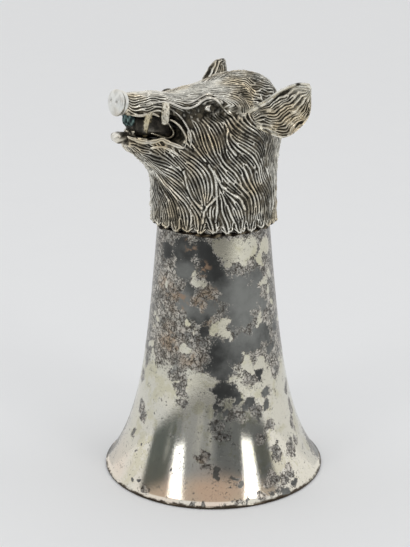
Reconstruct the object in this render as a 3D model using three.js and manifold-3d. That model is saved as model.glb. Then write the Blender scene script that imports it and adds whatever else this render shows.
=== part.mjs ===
// A hunting cup that stands on its rim. A spun bell cup is capped by a hollow cast boar's head, with the
// ears, tusks, eyes, snout disc, teeth and tongue fitted into sockets of the casting and a solder ring below
// its collar. Millimetres, +Z up, origin at the middle of the rim's resting plane, snout along -Y.
import * as THREE from "three";
import Module from "manifold-3d";
import { mergeVertices } from "three/addons/utils/BufferGeometryUtils.js";

const wasm = await Module();
wasm.setup();

// Driving sizes of the spun cup
const rimRadius = 35;
const cupHeight = 91; // top of the closed end above the table
const seatDepth = 11; // how far the closed end reaches into the head
const cupWall = 0.9;
const cupFloor = 1.2;
const cupShoulder = 2.2; // rounded edge of the closed end
const waistRadius = 17.2; // outside, where the collar ends
const waistTaper = 6.6; // what the straight taper alone adds from collar to rim
const flareLength = 17; // height over which the flare dies away
const lipRound = 0.45; // half the height of the turned lip
const restWidth = 1.4; // flat the cup stands on

// Driving sizes of the cast head
const collarHeight = cupHeight - seatDepth; // tips of the lowest locks above the table
const headRadius = 19.2; // outside of the neck, on the mean of the locks
const skullHeight = 45; // top of the nape above the collar
const skullBack = 20.3; // back of the nape behind the cup's axis
const snoutReach = 31; // front of the muzzle before the cup's axis
const muzzleWidth = 9.4; // across the front of the muzzle
const bridgeDrop = 3.8; // top of the muzzle below the top of the nape
const bridgeSag = 0.7; // the dip of the bridge before the brows
const upperJaw = 5.8; // from the bridge down to the mouth's roof
const mouthOpening = 7.4;
const mouthCorner = 15; // back of the mouth before the cup's axis
const lowerJaw = 1.4; // from the lower lip down to the chin's underside
const jawSlope = 9.8; // how much lower the throat is than the chin
const cheekSwell = 4.4; // what the muzzle gains in half width at the neck
const crownDrop = 3.4; // how far the neck's own round top stays below the skull
const napeWidth = 24;
const napeDepth = 11;
const napeHeight = 14;
const browSpread = 11.6; // brow crest over the eye from the middle plane
const browReach = 9;
const browDrop = 2.3; // brow crest below the bridge
const browRadius = 1.6;
const meld = 4; // radius over which the large forms run into one another
const castWall = 3.2;
const hollowTurn = 40; // degrees of the fan of sections that are hollow
const locksAround = 30;
const lockDepth = 0.5;
const scallopDepth = 1.7;
const fitGap = 0.3; // clearance of every seat

// Heights that follow from them
const bridgeHeight = skullHeight - bridgeDrop; // top of the muzzle above the collar
const mouthRoof = bridgeHeight - upperJaw;
const lipLine = mouthRoof - mouthOpening; // lower lip where the tusks stand
const chinHeight = lipLine - lowerJaw;
const throatHeight = chinHeight - jawSlope;

// Driving sizes of the lips
const lipRadius = 0.8;
const chinLength = 5.6; // the smooth bead at the tip of the jaw
const chinThickness = 4.4;

// Driving sizes of the fitted pieces
const discWidth = 9.2;
const discHeight = 7.7;
const discThickness = 2.6;
const discTilt = 6.5; // degrees that it looks up
const discRise = 1.2; // its top above the bridge
const spigotRadius = 1.3;
const spigotLength = 4;
const nostrilRadius = 0.75;
const nostrilSpread = 1.7;
const earSpread = 14.7; // root from the middle plane
const earSetBack = 0.4; // root behind the cup's axis
const earDrop = 11.2; // root below the skull's top
const earLength = 22;
const earWidth = 13;
const earThickness = 1.3;
const earHollow = 2.6;
const earPegRadius = 1.7;
const earPegLength = 3; // from the root into the casting
const earKnuckle = 7; // from the root out into the leaf
const eyeRadius = 1.5;
const eyeStemRadius = 0.8;
const eyeStemLength = 3.4;
const eyeSpread = 12.2;
const eyeReach = 8.2;
const eyeDrop = 4.3; // below the bridge
const lowerTuskRadius = 0.95;
const lowerTuskSetBack = 5.2; // behind the muzzle's front
const lowerTuskSpread = 6.4;
const lowerTuskHeight = 9.4; // above the lip line
const upperTuskRadius = 1.3;
const upperTuskSetBack = 10.8;
const upperTuskSpread = 8.3;
const upperTuskHang = 2.5; // below the mouth's roof
const tuskSeat = 1.7; // how deep a lower tusk sits in the jaw
const tongueWidth = 7;
const tongueThickness = 4.4;
const palateDrop = 2.2; // how far the palate's ridge hangs below the mouth's roof
const toothRowWidth = 5;
const toothHeight = 3.2;
const toothRoot = 0.9;
const toothSetBack = 2.2; // behind the muzzle's front
const solderWidth = 1;
const solderHeight = 1.6;

// Mesh fineness
const latheSteps = 40;

const degree = Math.PI / 180;
const mix = (a, b, t) => a + (b - a) * t;
const clamp01 = (t) => Math.min(1, Math.max(0, t));
const steps = (n, make) => Array.from({ length: n + 1 }, (_, i) => make(i / n, i));
const v3 = (x, y, z) => new THREE.Vector3(x, y, z);

// Solids and meshes

function solidOf(geometry) {
  const bare = geometry.index ? geometry.toNonIndexed() : geometry.clone();
  bare.deleteAttribute("normal");
  bare.deleteAttribute("uv");
  const merged = mergeVertices(bare, 1e-4);
  const vertProperties = new Float32Array(merged.attributes.position.array);
  const triVerts = new Uint32Array(merged.index.array);
  return new wasm.Manifold(new wasm.Mesh({ numProp: 3, vertProperties, triVerts }));
}

function meshOf(solid, name, material) {
  const { numProp, vertProperties, triVerts } = solid.getMesh();
  const count = vertProperties.length / numProp;
  const positions = new Float32Array(count * 3);
  for (let i = 0; i < count; i += 1) {
    positions.set(vertProperties.subarray(i * numProp, i * numProp + 3), i * 3);
  }
  const geometry = new THREE.BufferGeometry();
  geometry.setAttribute("position", new THREE.BufferAttribute(positions, 3));
  geometry.setIndex(new THREE.BufferAttribute(new Uint32Array(triVerts), 1));
  geometry.computeVertexNormals();
  const mesh = new THREE.Mesh(geometry, material);
  mesh.name = name;
  return mesh;
}

// One closed skin over rings of equal length, each turning left as seen from the last ring, fanned shut.
function skin(rings) {
  const count = rings[0].length;
  const centre = (ring) => ring.reduce((sum, p) => sum.add(p), v3(0, 0, 0)).divideScalar(count);
  const points = [...rings.flat(), centre(rings[0]), centre(rings.at(-1))];
  const [first, last] = [points.length - 2, points.length - 1];
  const top = (rings.length - 1) * count;
  const index = [];
  for (let i = 0; i < count; i += 1) {
    const next = (i + 1) % count;
    for (let r = 0; r < top; r += count) {
      index.push(r + i, r + next, r + count + next, r + i, r + count + next, r + count + i);
    }
    index.push(first, next, i, last, top + i, top + next);
  }
  const geometry = new THREE.BufferGeometry().setFromPoints(points);
  geometry.setIndex(index);
  return solidOf(geometry);
}

// A turned solid about +Z from a profile of [radius, height] pairs that runs up its outer side.
function turned(profile, sides = latheSteps) {
  const points = profile.map(([r, z]) => new THREE.Vector2(r, z));
  return solidOf(new THREE.LatheGeometry(points, sides).rotateX(Math.PI / 2));
}

// A round bar along a curve, its radius given by how far along it is. It can begin a little way in.
function bar(curve, radiusAt, stations, sides, start = 0) {
  const frames = curve.computeFrenetFrames(stations, false);
  return skin(
    steps(stations, (t, i) =>
      steps(sides - 1, (_, k) => {
        const angle = (k / sides) * 2 * Math.PI;
        return curve
          .getPointAt(mix(i ? 0 : start, 1, t))
          .addScaledVector(frames.normals[i], radiusAt(t) * Math.cos(angle))
          .addScaledVector(frames.binormals[i], radiusAt(t) * Math.sin(angle));
      }),
    ),
  );
}

// A solid made in its own frame, set down with its +Z along a direction.
function placed(solid, at, along) {
  const spin = new THREE.Quaternion().setFromUnitVectors(v3(0, 0, 1), along.clone().normalize());
  const matrix = new THREE.Matrix4().compose(at, spin, v3(1, 1, 1));
  return solid.transform(matrix.elements);
}

// Spun cup

function bellRadius(z) {
  const taper = (waistTaper * (collarHeight - z)) / collarHeight;
  const flare = rimRadius - waistRadius - waistTaper;
  const fade = (height) => Math.exp(-height / flareLength);
  return waistRadius + taper + (flare * (fade(z) - fade(collarHeight))) / (1 - fade(collarHeight));
}

// Heights crowd towards the rim, where the bell curves most.
const bellHeights = (low, high, n) => steps(n, (t) => mix(low, high, t ** 1.5));

// The rounded closed end, from the wall in to the flat, inset from the outside by a thickness.
function shoulder(inset) {
  const edge = cupHeight - cupShoulder;
  return steps(3, (t) => [
    bellRadius(edge) - inset - (cupShoulder - inset) * (1 - Math.cos((t * Math.PI) / 2)),
    edge + (cupShoulder - inset) * Math.sin((t * Math.PI) / 2),
  ]);
}

// The bell's outside above the lip, grown by a clearance for its seat in the head.
const bellOutside = (low, grow) => [
  ...bellHeights(low, cupHeight - cupShoulder, 9).map((z) => [bellRadius(z) + grow, z]),
  ...shoulder(-grow).slice(1),
];

function cupSolid() {
  const lipTop = 4 * lipRound;
  const inner = [
    ...bellHeights(lipTop, cupHeight - cupShoulder, 7).map((z) => [bellRadius(z) - cupWall, z]),
    ...shoulder(cupFloor).slice(1),
  ];
  const lip = steps(4, (t) => [
    rimRadius - lipRound + lipRound * Math.sin(t * Math.PI),
    lipRound - lipRound * Math.cos(t * Math.PI),
  ]);
  return turned([
    [0, cupHeight - cupFloor],
    ...inner.reverse(),
    [rimRadius - lipRound - restWidth, 0],
    ...lip,
    ...bellOutside(lipTop, 0),
    [0, cupHeight],
  ]);
}

// The solder fillet that fills the step below the collar.
function solderSolid() {
  const top = collarHeight - fitGap;
  const low = top - solderHeight;
  const seat = (z) => bellRadius(z) + fitGap;
  const hollowed = steps(3, (t) => {
    const angle = (t * Math.PI) / 2;
    return [
      mix(seat(low) + 0.15, seat(top) + solderWidth, 1 - Math.cos(angle)),
      mix(low, top - 0.3, Math.sin(angle)),
    ];
  });
  const [foot, brim] = [[seat(low), low], [seat(top), top]];
  return turned([foot, ...hollowed, [seat(top) + solderWidth, top], brim, foot]);
}

// Boar's head. One field of blended forms, negative inside. Points are [x, y, h], h above the collar.

const blend = (a, b, k) => {
  const near = Math.max(k - Math.abs(a - b), 0) / k;
  return Math.min(a, b) - (near * near * k) / 4;
};
const within = (a, b, k) => -blend(-a, -b, k);

function egg([x, y, h], [cx, cy, ch], [rx, ry, rh], power = 2) {
  const part = (value, radius) => Math.abs(value / radius) ** power;
  const size = part(x - cx, rx) + part(y - cy, ry) + part(h - ch, rh);
  return (size ** (1 / power) - 1) * Math.min(rx, ry, rh);
}

function rod([x, y, h], [ax, ay, ah], [bx, by, bh], ra, rb) {
  const [dx, dy, dh] = [bx - ax, by - ay, bh - ah];
  const t = clamp01(((x - ax) * dx + (y - ay) * dy + (h - ah) * dh) / (dx * dx + dy * dy + dh * dh));
  return Math.hypot(x - ax - t * dx, y - ay - t * dy, h - ah - t * dh) - mix(ra, rb, t);
}

// The closed muzzle's height and width by its reach before the cup's axis.
function muzzle([x, y, h]) {
  const forward = clamp01((-y - headRadius) / (snoutReach - headRadius));
  const under = mix(throatHeight, chinHeight, (-y - headRadius) / (snoutReach - headRadius));
  const top = bridgeHeight - bridgeSag * Math.exp(-(((-y - mouthCorner) / (0.2 * mouthCorner)) ** 2));
  const halfWidth = muzzleWidth / 2 + cheekSwell * (1 - forward) ** 1.6 + 0.35 * Math.max(0, headRadius + y);
  const halfHeight = (top - under) / 2;
  const boxy = mix(3.3, 2.4, forward);
  const section = Math.abs(x / halfWidth) ** boxy + Math.abs((h - top + halfHeight) / halfHeight) ** boxy;
  const side = (section ** (1 / boxy) - 1) * Math.min(halfWidth, halfHeight);
  return within(within(side, -y - snoutReach, 0.6 * meld), y - meld, meld);
}

function headField(x, y, h) {
  const p = [Math.abs(x), y, h];
  const nape = [0, skullBack - napeDepth, skullHeight - napeHeight];
  const browCrest = [browSpread, -browReach, bridgeHeight - browDrop];
  const browFront = [0.52 * browSpread, -2.2 * browReach, bridgeHeight - 2.3 * browDrop];
  const browBack = [1.24 * browSpread, 0, bridgeHeight - 2.1 * browDrop];
  const recess = [1.18 * eyeSpread, -1.16 * eyeReach, bridgeHeight - 1.28 * eyeDrop];
  let f = rod(p, [0, 0, -headRadius], [0, 0, skullHeight - headRadius - crownDrop], headRadius, headRadius);
  f = blend(f, egg(p, nape, [napeWidth / 2, napeDepth, napeHeight], 2.6), meld);
  f = blend(f, muzzle(p), meld);
  f = blend(f, rod(p, browFront, browCrest, 0.75 * browRadius, browRadius), 0.6 * meld);
  f = blend(f, rod(p, browCrest, browBack, browRadius, browRadius), 0.6 * meld);
  return within(f, -egg(p, recess, [2 * eyeRadius, 5 * eyeRadius, 1.55 * eyeRadius]), eyeRadius);
}

// Sections of the head. They rise level up the neck, then fan about a line below the jaw until they stand
// upright, and go on along the muzzle. Each gives a middle, the section's own upward direction and a fade.
const fanAxis = { y: -0.84 * snoutReach, h: 0.71 * throatHeight };
const headSections = (() => {
  const upright = (bridgeHeight + chinHeight) / 2;
  const neck = [0.22, 0.42, 0.62, 0.83].map((t) => ({ y: 0, h: t * fanAxis.h, tilt: 0 }));
  const fan = steps(20, (t) => {
    const tilt = 90 * degree * t;
    const out = mix(-fanAxis.y, upright - fanAxis.h, t);
    return { y: fanAxis.y + out * Math.cos(tilt), h: fanAxis.h + out * Math.sin(tilt), tilt };
  });
  const front = [0.35, 0.6, 0.78, 0.9, 0.97].map((t) => ({
    y: mix(fanAxis.y, -snoutReach, t),
    h: upright,
    tilt: 90 * degree,
  }));
  return [...neck, ...fan, ...front];
})();

// The distance out from a section's middle at which the field reaches a level.
function reachTo(section, angle, level) {
  const across = Math.cos(angle);
  const along = { y: Math.sin(angle) * Math.cos(section.tilt), h: Math.sin(angle) * Math.sin(section.tilt) };
  let [near, far] = [0, skullHeight];
  for (let i = 0; i < 22; i += 1) {
    const middle = (near + far) / 2;
    const [y, h] = [section.y + along.y * middle, section.h + along.h * middle];
    const inside = headField(across * middle, y, h) < level;
    [near, far] = inside ? [middle, far] : [near, middle];
  }
  return near;
}

function headRing(section, level, locks, sides = 2 * locksAround) {
  return steps(sides - 1, (_, i) => {
    const angle = ((i + 0.5) / sides) * 2 * Math.PI;
    const lock = (i % 2 ? 1 : -1) * locks;
    const out = reachTo(section, angle, level) + lock;
    const rise = out * Math.sin(angle);
    return v3(
      out * Math.cos(angle),
      section.y + rise * Math.cos(section.tilt),
      collarHeight + section.h + rise * Math.sin(section.tilt),
    );
  });
}

// The casting's outside, its locks fading out over the face. The lowest ring runs down into the lock tips.
function headOutside(grow) {
  const locks = (section) => (lockDepth / 2) * (1 - clamp01((section.tilt / degree - 20) / 50));
  const rings = headSections.map((section) => headRing(section, grow, locks(section)));
  const tips = headRing({ y: 0, h: 0, tilt: 0 }, grow, lockDepth / 2);
  tips.forEach((p, i) => {
    p.z += i % 2 ? -grow : scallopDepth - grow;
  });
  return skin([tips, ...rings]);
}

// The hollow behind the face, which the cup's closed end closes from below.
function headHollow() {
  const hollow = headSections.filter((section) => section.tilt <= hollowTurn * degree);
  return skin(hollow.slice(3).map((section) => headRing(section, -castWall, 0, locksAround)));
}

// A side view drawn in [reach, height above the collar], cut right across the head.
function acrossHead(shape, halfWidth) {
  const settings = { depth: 2 * halfWidth, bevelEnabled: false, curveSegments: 8 };
  const geometry = new THREE.ExtrudeGeometry(shape, settings);
  const axes = new THREE.Matrix4().makeBasis(v3(0, -1, 0), v3(0, 0, 1), v3(-1, 0, 0));
  geometry.applyMatrix4(axes);
  geometry.translate(halfWidth, 0, collarHeight);
  return solidOf(geometry);
}

// The open mouth from the side, round at its corner and rising a little to the chin.
function mouthShape() {
  const at = (reach, height) => [mouthCorner + reach * mouthOpening, lipLine + height * mouthOpening];
  const front = (snoutReach - mouthCorner) / mouthOpening;
  const shape = new THREE.Shape();
  shape.moveTo(...at(0.54, -0.16));
  shape.quadraticCurveTo(...at(1.08, 0.03), ...at(front - 0.14, 0.2));
  shape.quadraticCurveTo(...at(front, 0.26), ...at(front + 0.05, 0.46));
  shape.lineTo(...at(front + 0.54, 0.49));
  shape.lineTo(...at(front + 0.54, 1));
  shape.lineTo(...at(0.68, 1));
  shape.bezierCurveTo(...at(0.14, 1), ...at(-0.11, 0.59), ...at(0.05, 0.22));
  shape.quadraticCurveTo(...at(0.19, -0.14), ...at(0.54, -0.16));
  return shape;
}

// The ridge that the mouth's roof is left with, over the tongue.
function palateSolid() {
  const length = snoutReach - mouthCorner;
  const ball = solidOf(new THREE.SphereGeometry(1, 16, 10));
  const ridge = ball.scale([0.37 * tongueWidth, 0.44 * length, palateDrop]);
  return ridge.translate([0, -mouthCorner - 0.44 * length, collarHeight + mouthRoof]);
}

// The smooth bead at the tip of the lower jaw.
function chinSolid() {
  const [length, thickness] = [chinLength / 2, chinThickness / 2];
  const bead = solidOf(new THREE.SphereGeometry(1, 16, 10)).scale([muzzleWidth * 0.4, length, thickness]);
  return bead.translate([0, -snoutReach + 0.3 * length, collarHeight + chinHeight + 0.7 * thickness]);
}

// The rolled lip, a bar laid on the cheek round the mouth's corner, with its ends sunk in the flesh.
function lipSolid() {
  const outline = mouthShape().getSpacedPoints(60);
  const rear = outline.filter((p) => p.x < mouthCorner + 1.2 * mouthOpening);
  const middle = lipLine + 0.4 * mouthOpening;
  const start = rear.findIndex((p, i) => i > 0 && rear[i - 1].y < middle && p.y > middle);
  const turnedRound = [...rear.slice(start), ...rear.slice(0, start)];
  const onCheek = turnedRound.map(({ x, y }) => {
    let [near, far] = [0, skullHeight];
    for (let i = 0; i < 20; i += 1) {
      const middle = (near + far) / 2;
      [near, far] = headField(middle, -x, y) < 0 ? [middle, far] : [near, middle];
    }
    return v3(near, -x, collarHeight + y);
  });
  const radius = (t) => lipRadius * Math.sin(Math.PI * mix(0.12, 0.88, t));
  return bar(new THREE.CatmullRomCurve3(onCheek), radius, 14, 6);
}

// Fitted pieces. Each is made once for the piece and once more, grown by the clearance, for its socket.

const mirrored = (solid) => solid.mirror([1, 0, 0]);
const largest = (solid) => solid.decompose().sort((a, b) => b.volume() - a.volume())[0];

// A little before the muzzle's front.
const discCentre = () => {
  const height = bridgeHeight - discHeight / 2 + discRise;
  return v3(0, -snoutReach - discThickness * 0.15, collarHeight + height);
};

function discSolid(grow) {
  const half = discWidth / 2 + grow;
  const front = discThickness / 2 + grow;
  const face = steps(4, (t) => [
    half * Math.sin(((1 - t) * Math.PI) / 2) ** 0.6,
    front * (0.55 + 0.45 * Math.sin((t * Math.PI) / 2)),
  ]);
  const disc = turned(
    [
      [0, -front - spigotLength],
      [spigotRadius + grow, -front - spigotLength],
      [spigotRadius + grow, -front],
      [half * 0.84, -front],
      [half * 0.84, -front * 0.4],
      [half * 0.95, -front * 0.3],
      ...face,
    ],
    24,
  ).scale([1, discHeight / discWidth, 1]);
  const tilt = discTilt * degree;
  const looking = v3(0, -Math.cos(tilt), Math.sin(tilt));
  return placed(disc, discCentre(), looking);
}

function snoutSolid() {
  const tilt = discTilt * degree;
  const looking = v3(0, -Math.cos(tilt), Math.sin(tilt));
  const dimple = (side) => {
    const at = discCentre().add(v3(side * nostrilSpread, 0, nostrilRadius));
    at.addScaledVector(looking, discThickness / 2 + nostrilRadius / 3);
    return solidOf(new THREE.SphereGeometry(nostrilRadius, 8, 6)).translate(at.toArray());
  };
  return discSolid(0).subtract(dimple(-1)).subtract(dimple(1));
}

// The ear's own directions, root to tip, out of its hollow face, and across it down to the lobe.
const earRoot = v3(earSpread, earSetBack, collarHeight + skullHeight - earDrop);
const earFrame = (along) => {
  const facing = v3(0.864, -0.511, 0);
  facing.addScaledVector(along, -facing.dot(along)).normalize();
  return { along, facing, across: v3().crossVectors(along, facing) };
};
const leftEar = earFrame(v3(0.462, 0.781, 0.429).normalize());
const rightEar = earFrame(v3(0.3, 0.8, 0.535).normalize()); // pricked a little higher, as cast

// The leaf's two edges, as shares of its length and its width.
const edgeCurve = (points) => new THREE.SplineCurve(points.map(([a, w]) => new THREE.Vector2(a, w)));
const earUpperEdge = edgeCurve([[0, -0.09], [0.35, -0.12], [0.62, -0.19], [0.85, -0.17], [1, -0.05]]);
const earLowerEdge = edgeCurve([[0, 0.09], [0.16, 0.42], [0.38, 0.8], [0.6, 0.76], [0.84, 0.52], [1, 0.07]]);

function earSolid(frame, skull) {
  const edgeAt = (curve, t) => {
    let [low, high] = [0, 1];
    for (let i = 0; i < 16; i += 1) {
      const middle = (low + high) / 2;
      [low, high] = curve.getPoint(middle).x < t ? [middle, high] : [low, middle];
    }
    return curve.getPoint(low).y * earWidth;
  };
  const point = (t, w, depth) =>
    earRoot
      .clone()
      .addScaledVector(frame.along, t * earLength)
      .addScaledVector(frame.across, w)
      .addScaledVector(frame.facing, depth);
  const across = 7;
  const leaf = skin(
    steps(10, (t) => {
      const [upper, lower] = [edgeAt(earUpperEdge, t), edgeAt(earLowerEdge, t)];
      const curl = Math.sin(Math.PI * t ** 0.7);
      const bowl = (s) => -earHollow * (curl * (1 - (2 * s - 1) ** 2) - 0.23 * t);
      const thick = (s) => (earThickness / 2) * (0.35 + 0.65 * Math.sqrt(Math.max(0, 1 - (2 * s - 1) ** 2)));
      const inside = steps(across, (s) => point(t, mix(upper, lower, s), bowl(s) + thick(s)));
      const outside = steps(across, (s) => point(t, mix(lower, upper, s), bowl(1 - s) - thick(1 - s)));
      return [...outside, ...inside];
    }),
  );
  return largest(leaf.subtract(skull)).add(earPeg(frame, 0));
}

function earPeg(frame, grow) {
  const radius = earPegRadius + grow;
  const end = -earPegLength - grow;
  const bulge = [[radius, end], [radius, earKnuckle * 0.45], [radius * 0.85, earKnuckle * 0.75]];
  const peg = turned([[0, end], ...bulge, [radius * 0.4, earKnuckle], [0, earKnuckle]], 12);
  return placed(peg, earRoot.clone().addScaledVector(frame.facing, -0.5 * earPegRadius), frame.along);
}

function eyeSolid(grow) {
  const ball = eyeRadius + grow;
  const stem = eyeStemRadius + grow;
  const round = steps(6, (t) => {
    const angle = mix(Math.asin(stem / ball) - Math.PI, 0, t);
    return [ball * Math.sin(-angle), ball * Math.cos(angle)];
  });
  const eye = turned([[0, -eyeStemLength - grow], [stem, -eyeStemLength - grow], ...round], 12);
  return placed(eye, v3(eyeSpread, -eyeReach, collarHeight + bridgeHeight - eyeDrop), v3(0.78, -0.5, 0.12));
}

function lowerTusk(grow) {
  const reach = snoutReach - lowerTuskSetBack;
  const curve = new THREE.QuadraticBezierCurve3(
    v3(0.53 * lowerTuskSpread, -reach, collarHeight + lipLine - tuskSeat),
    v3(0.78 * lowerTuskSpread, -1.04 * reach, collarHeight + lipLine + 0.32 * lowerTuskHeight),
    v3(lowerTuskSpread, -0.94 * reach, collarHeight + lipLine + lowerTuskHeight),
  );
  const taper = (t) => (lowerTuskRadius + grow) * (t < 0.5 ? 1 : mix(1, 0.25, 2 * t - 1));
  return bar(curve, taper, 9, 9, (fitGap - grow) / curve.getLength());
}

function upperTusk(grow) {
  const reach = snoutReach - upperTuskSetBack;
  const curve = new THREE.QuadraticBezierCurve3(
    v3(0.58 * upperTuskSpread, -reach, collarHeight + mouthRoof + 0.55 * upperJaw),
    v3(0.99 * upperTuskSpread, -reach, collarHeight + mouthRoof + 0.48 * upperJaw),
    v3(upperTuskSpread, -1.03 * reach, collarHeight + mouthRoof - upperTuskHang),
  );
  const taper = (t) => (upperTuskRadius + grow) * (t < 0.8 ? 1 : mix(1, 0.7, 5 * t - 4));
  return bar(curve, taper, 8, 10, (fitGap - grow) / curve.getLength());
}

// A row of teeth, a bar of lobes bent to the curve of the muzzle, root up or down into the gum.
function toothRow(middle, height, grow) {
  const count = 6;
  const lobes = steps(count - 1, (t) => {
    const x = mix(-0.5, 0.5, t) * (toothRowWidth - toothRowWidth / count);
    const radius = toothRowWidth / count / 2 + 0.12 + grow;
    const tooth = turned(
      [
        [0, -height / 2 - grow],
        [radius, -height / 2 - grow],
        [radius, height * 0.2],
        [radius * 0.55, height / 2 + grow],
        [0, height / 2 + grow],
      ],
      8,
    );
    return tooth.translate([x, middle.y + (0.6 * x * x) / toothRowWidth, middle.z]);
  });
  return lobes.reduce((sum, lobe) => sum.add(lobe));
}

const upperTeeth = (grow) => {
  const row = toothRow(v3(0, -snoutReach + toothSetBack, 0), toothHeight + toothRoot, grow);
  return row.mirror([0, 0, 1]).translate([0, 0, collarHeight + mouthRoof + (toothRoot - toothHeight) / 2]);
};
const lowerTeeth = (grow) => {
  const gum = collarHeight + lipLine + 0.2 * mouthOpening;
  const middle = v3(0, -snoutReach + 1.2 * toothSetBack, gum + toothHeight / 2 - 1.2 * toothRoot);
  return toothRow(middle, toothHeight, grow);
};

// The tongue, a tapering tile on the floor of the mouth with a rib below that sits in a groove.
function tongueSolid(grow) {
  const shape = new THREE.Shape();
  const halfWidth = tongueWidth / 2 + grow;
  const back = mouthCorner + 0.37 * tongueWidth - grow;
  const tip = snoutReach - toothSetBack - 0.34 * tongueWidth + grow;
  const middle = (back + tip) / 2;
  const floor = lipLine - toothRoot - grow;
  const top = lipLine + tongueThickness + grow;
  shape.moveTo(back, floor);
  shape.lineTo(tip - 1, floor);
  shape.quadraticCurveTo(tip + 0.6, mix(floor, top, 0.4), tip - 1, top);
  shape.quadraticCurveTo(middle, top - 0.14 * tongueThickness, back + 1, top);
  shape.lineTo(back, mix(floor, top, 0.4));
  shape.lineTo(back, floor);
  const oval = [[0, -mouthOpening], [halfWidth, -mouthOpening], [halfWidth, mouthOpening], [0, mouthOpening]];
  const plan = turned(oval, 20).scale([1, (tip - back + 8) / tongueWidth, 1]);
  return acrossHead(shape, halfWidth).intersect(plan.translate([0, -middle + 2.3, collarHeight + lipLine]));
}

function castingSolid() {
  const low = collarHeight - seatDepth / 3;
  const seat = turned([[0, low], ...bellOutside(low, fitGap), [0, cupHeight + fitGap]]);
  const sockets = [
    seat,
    headHollow(),
    acrossHead(mouthShape(), 20).subtract(palateSolid()),
    discSolid(fitGap),
    upperTeeth(fitGap),
    lowerTeeth(fitGap),
    tongueSolid(fitGap),
  ];
  for (const socket of [eyeSolid, lowerTusk, upperTusk]) {
    sockets.push(socket(fitGap), mirrored(socket(fitGap)));
  }
  sockets.push(earPeg(leftEar, fitGap), mirrored(earPeg(rightEar, fitGap)));
  const lipped = headOutside(0).add(chinSolid()).add(lipSolid()).add(mirrored(lipSolid()));
  return largest(sockets.reduce((body, socket) => body.subtract(socket), lipped));
}

// Materials
const finish = (color, metalness, roughness) =>
  new THREE.MeshStandardMaterial({ color, metalness, roughness });
const tarnishedPlate = finish(0x8d8a84, 1, 0.3);
const antiqueCast = finish(0x9b948a, 1, 0.42);
const polishedCast = finish(0xc9c4b8, 1, 0.3);
const darkCast = finish(0x3f3d3a, 1, 0.5);
const verdigris = finish(0x2f5653, 0.3, 0.7);
const solder = finish(0x6e6a64, 1, 0.55);

const cup = new THREE.Group();
cup.name = "hunting_cup";
const skull = headOutside(fitGap);
const pieces = [
  ["bell_cup", cupSolid(), tarnishedPlate],
  ["ear_left", earSolid(leftEar, skull), antiqueCast],
  ["ear_right", mirrored(earSolid(rightEar, skull)), antiqueCast],
  ["solder_ring", solderSolid(), solder],
  ["head_casting", castingSolid(), antiqueCast],
  ["snout_disc", snoutSolid(), polishedCast],
  ["tongue", tongueSolid(0), darkCast],
  ["upper_incisors", upperTeeth(0), verdigris],
  ["lower_incisors", lowerTeeth(0), polishedCast],
];
const pairs = [
  ["eye", eyeSolid(0), darkCast],
  ["upper_tusk", upperTusk(0), polishedCast],
  ["lower_tusk", lowerTusk(0), polishedCast],
];
for (const [name, solid, material] of pairs) {
  pieces.push([`${name}_left`, solid, material], [`${name}_right`, mirrored(solid), material]);
}
for (const [name, solid, material] of pieces) cup.add(meshOf(solid, name, material));

export default cup;
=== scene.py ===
# %% [markdown]
# # A hunting cup capped with a boar's head
#
# The cup is a spun bell of silver plate, blotched with tarnish, that stands on its rim. A hollow cast
# boar's head closes its narrow end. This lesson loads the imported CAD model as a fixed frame, and then
# dresses it: every surface is worked out with numpy and every finish is made of shader nodes.

# %% Load the frame
import math

import bpy
import numpy as np
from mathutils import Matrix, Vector


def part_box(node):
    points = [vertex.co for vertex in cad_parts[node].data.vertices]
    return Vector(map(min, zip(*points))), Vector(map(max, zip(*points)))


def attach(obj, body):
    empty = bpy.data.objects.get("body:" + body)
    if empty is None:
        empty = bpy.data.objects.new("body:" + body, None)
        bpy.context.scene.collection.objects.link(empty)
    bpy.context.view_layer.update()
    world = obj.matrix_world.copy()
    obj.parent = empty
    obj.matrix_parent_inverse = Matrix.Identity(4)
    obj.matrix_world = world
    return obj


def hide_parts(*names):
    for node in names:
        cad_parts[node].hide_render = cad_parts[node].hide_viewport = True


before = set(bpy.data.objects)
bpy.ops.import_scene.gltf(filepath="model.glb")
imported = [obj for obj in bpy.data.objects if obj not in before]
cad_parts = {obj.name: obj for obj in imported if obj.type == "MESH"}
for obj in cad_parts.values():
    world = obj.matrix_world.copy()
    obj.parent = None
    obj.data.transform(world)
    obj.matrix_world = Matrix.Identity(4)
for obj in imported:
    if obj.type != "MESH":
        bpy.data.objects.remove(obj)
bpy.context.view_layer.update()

# %% [markdown]
# ## Sizes
#
# The sizes are real ones, in millimetres, and the shapes are worked out in millimetres as well. They
# become metres at the last step, when a mesh is made. Heights on the head are above the collar, which is
# where the cast head ends on the bell.

# %% Sizes of the cup and the head
MM = 0.001
RIM_RADIUS = 35.0
WAIST_RADIUS = 17.2
WAIST_TAPER = 6.6
FLARE_LENGTH = 17.0
CUP_WALL = 0.9
LIP_ROUND = 0.45
REST_WIDTH = 1.4
CUP_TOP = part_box("bell_cup")[1].z / MM
COLLAR = 80.0
HEAD_RADIUS = 19.2
SKULL_HEIGHT = 45.0
SKULL_BACK = 20.3
SNOUT_REACH = 31.0
MUZZLE_WIDTH = 9.4
BRIDGE = 41.2
CHIN = 26.6
THROAT = 16.8
MOUTH_ROOF = 35.4
LIP_LINE = 28.0
MOUTH_OPENING = 7.4
MOUTH_CORNER = 15.0
EAR_ROOT = np.array([14.7, 0.4, SKULL_HEIGHT - 11.2])
print("closed end of the bell at", round(CUP_TOP, 2), "mm, collar at", COLLAR, "mm")

# %% [markdown]
# ## Making a mesh from a grid
#
# Almost every piece is a skin: rings of points, one after another, joined by quads and closed by a fan of
# triangles at each end. Many skins of the same layout, such as a row of teeth, can be worked out as one
# array and go into one mesh. A mesh is filled with foreach_set, which takes whole arrays.

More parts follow.
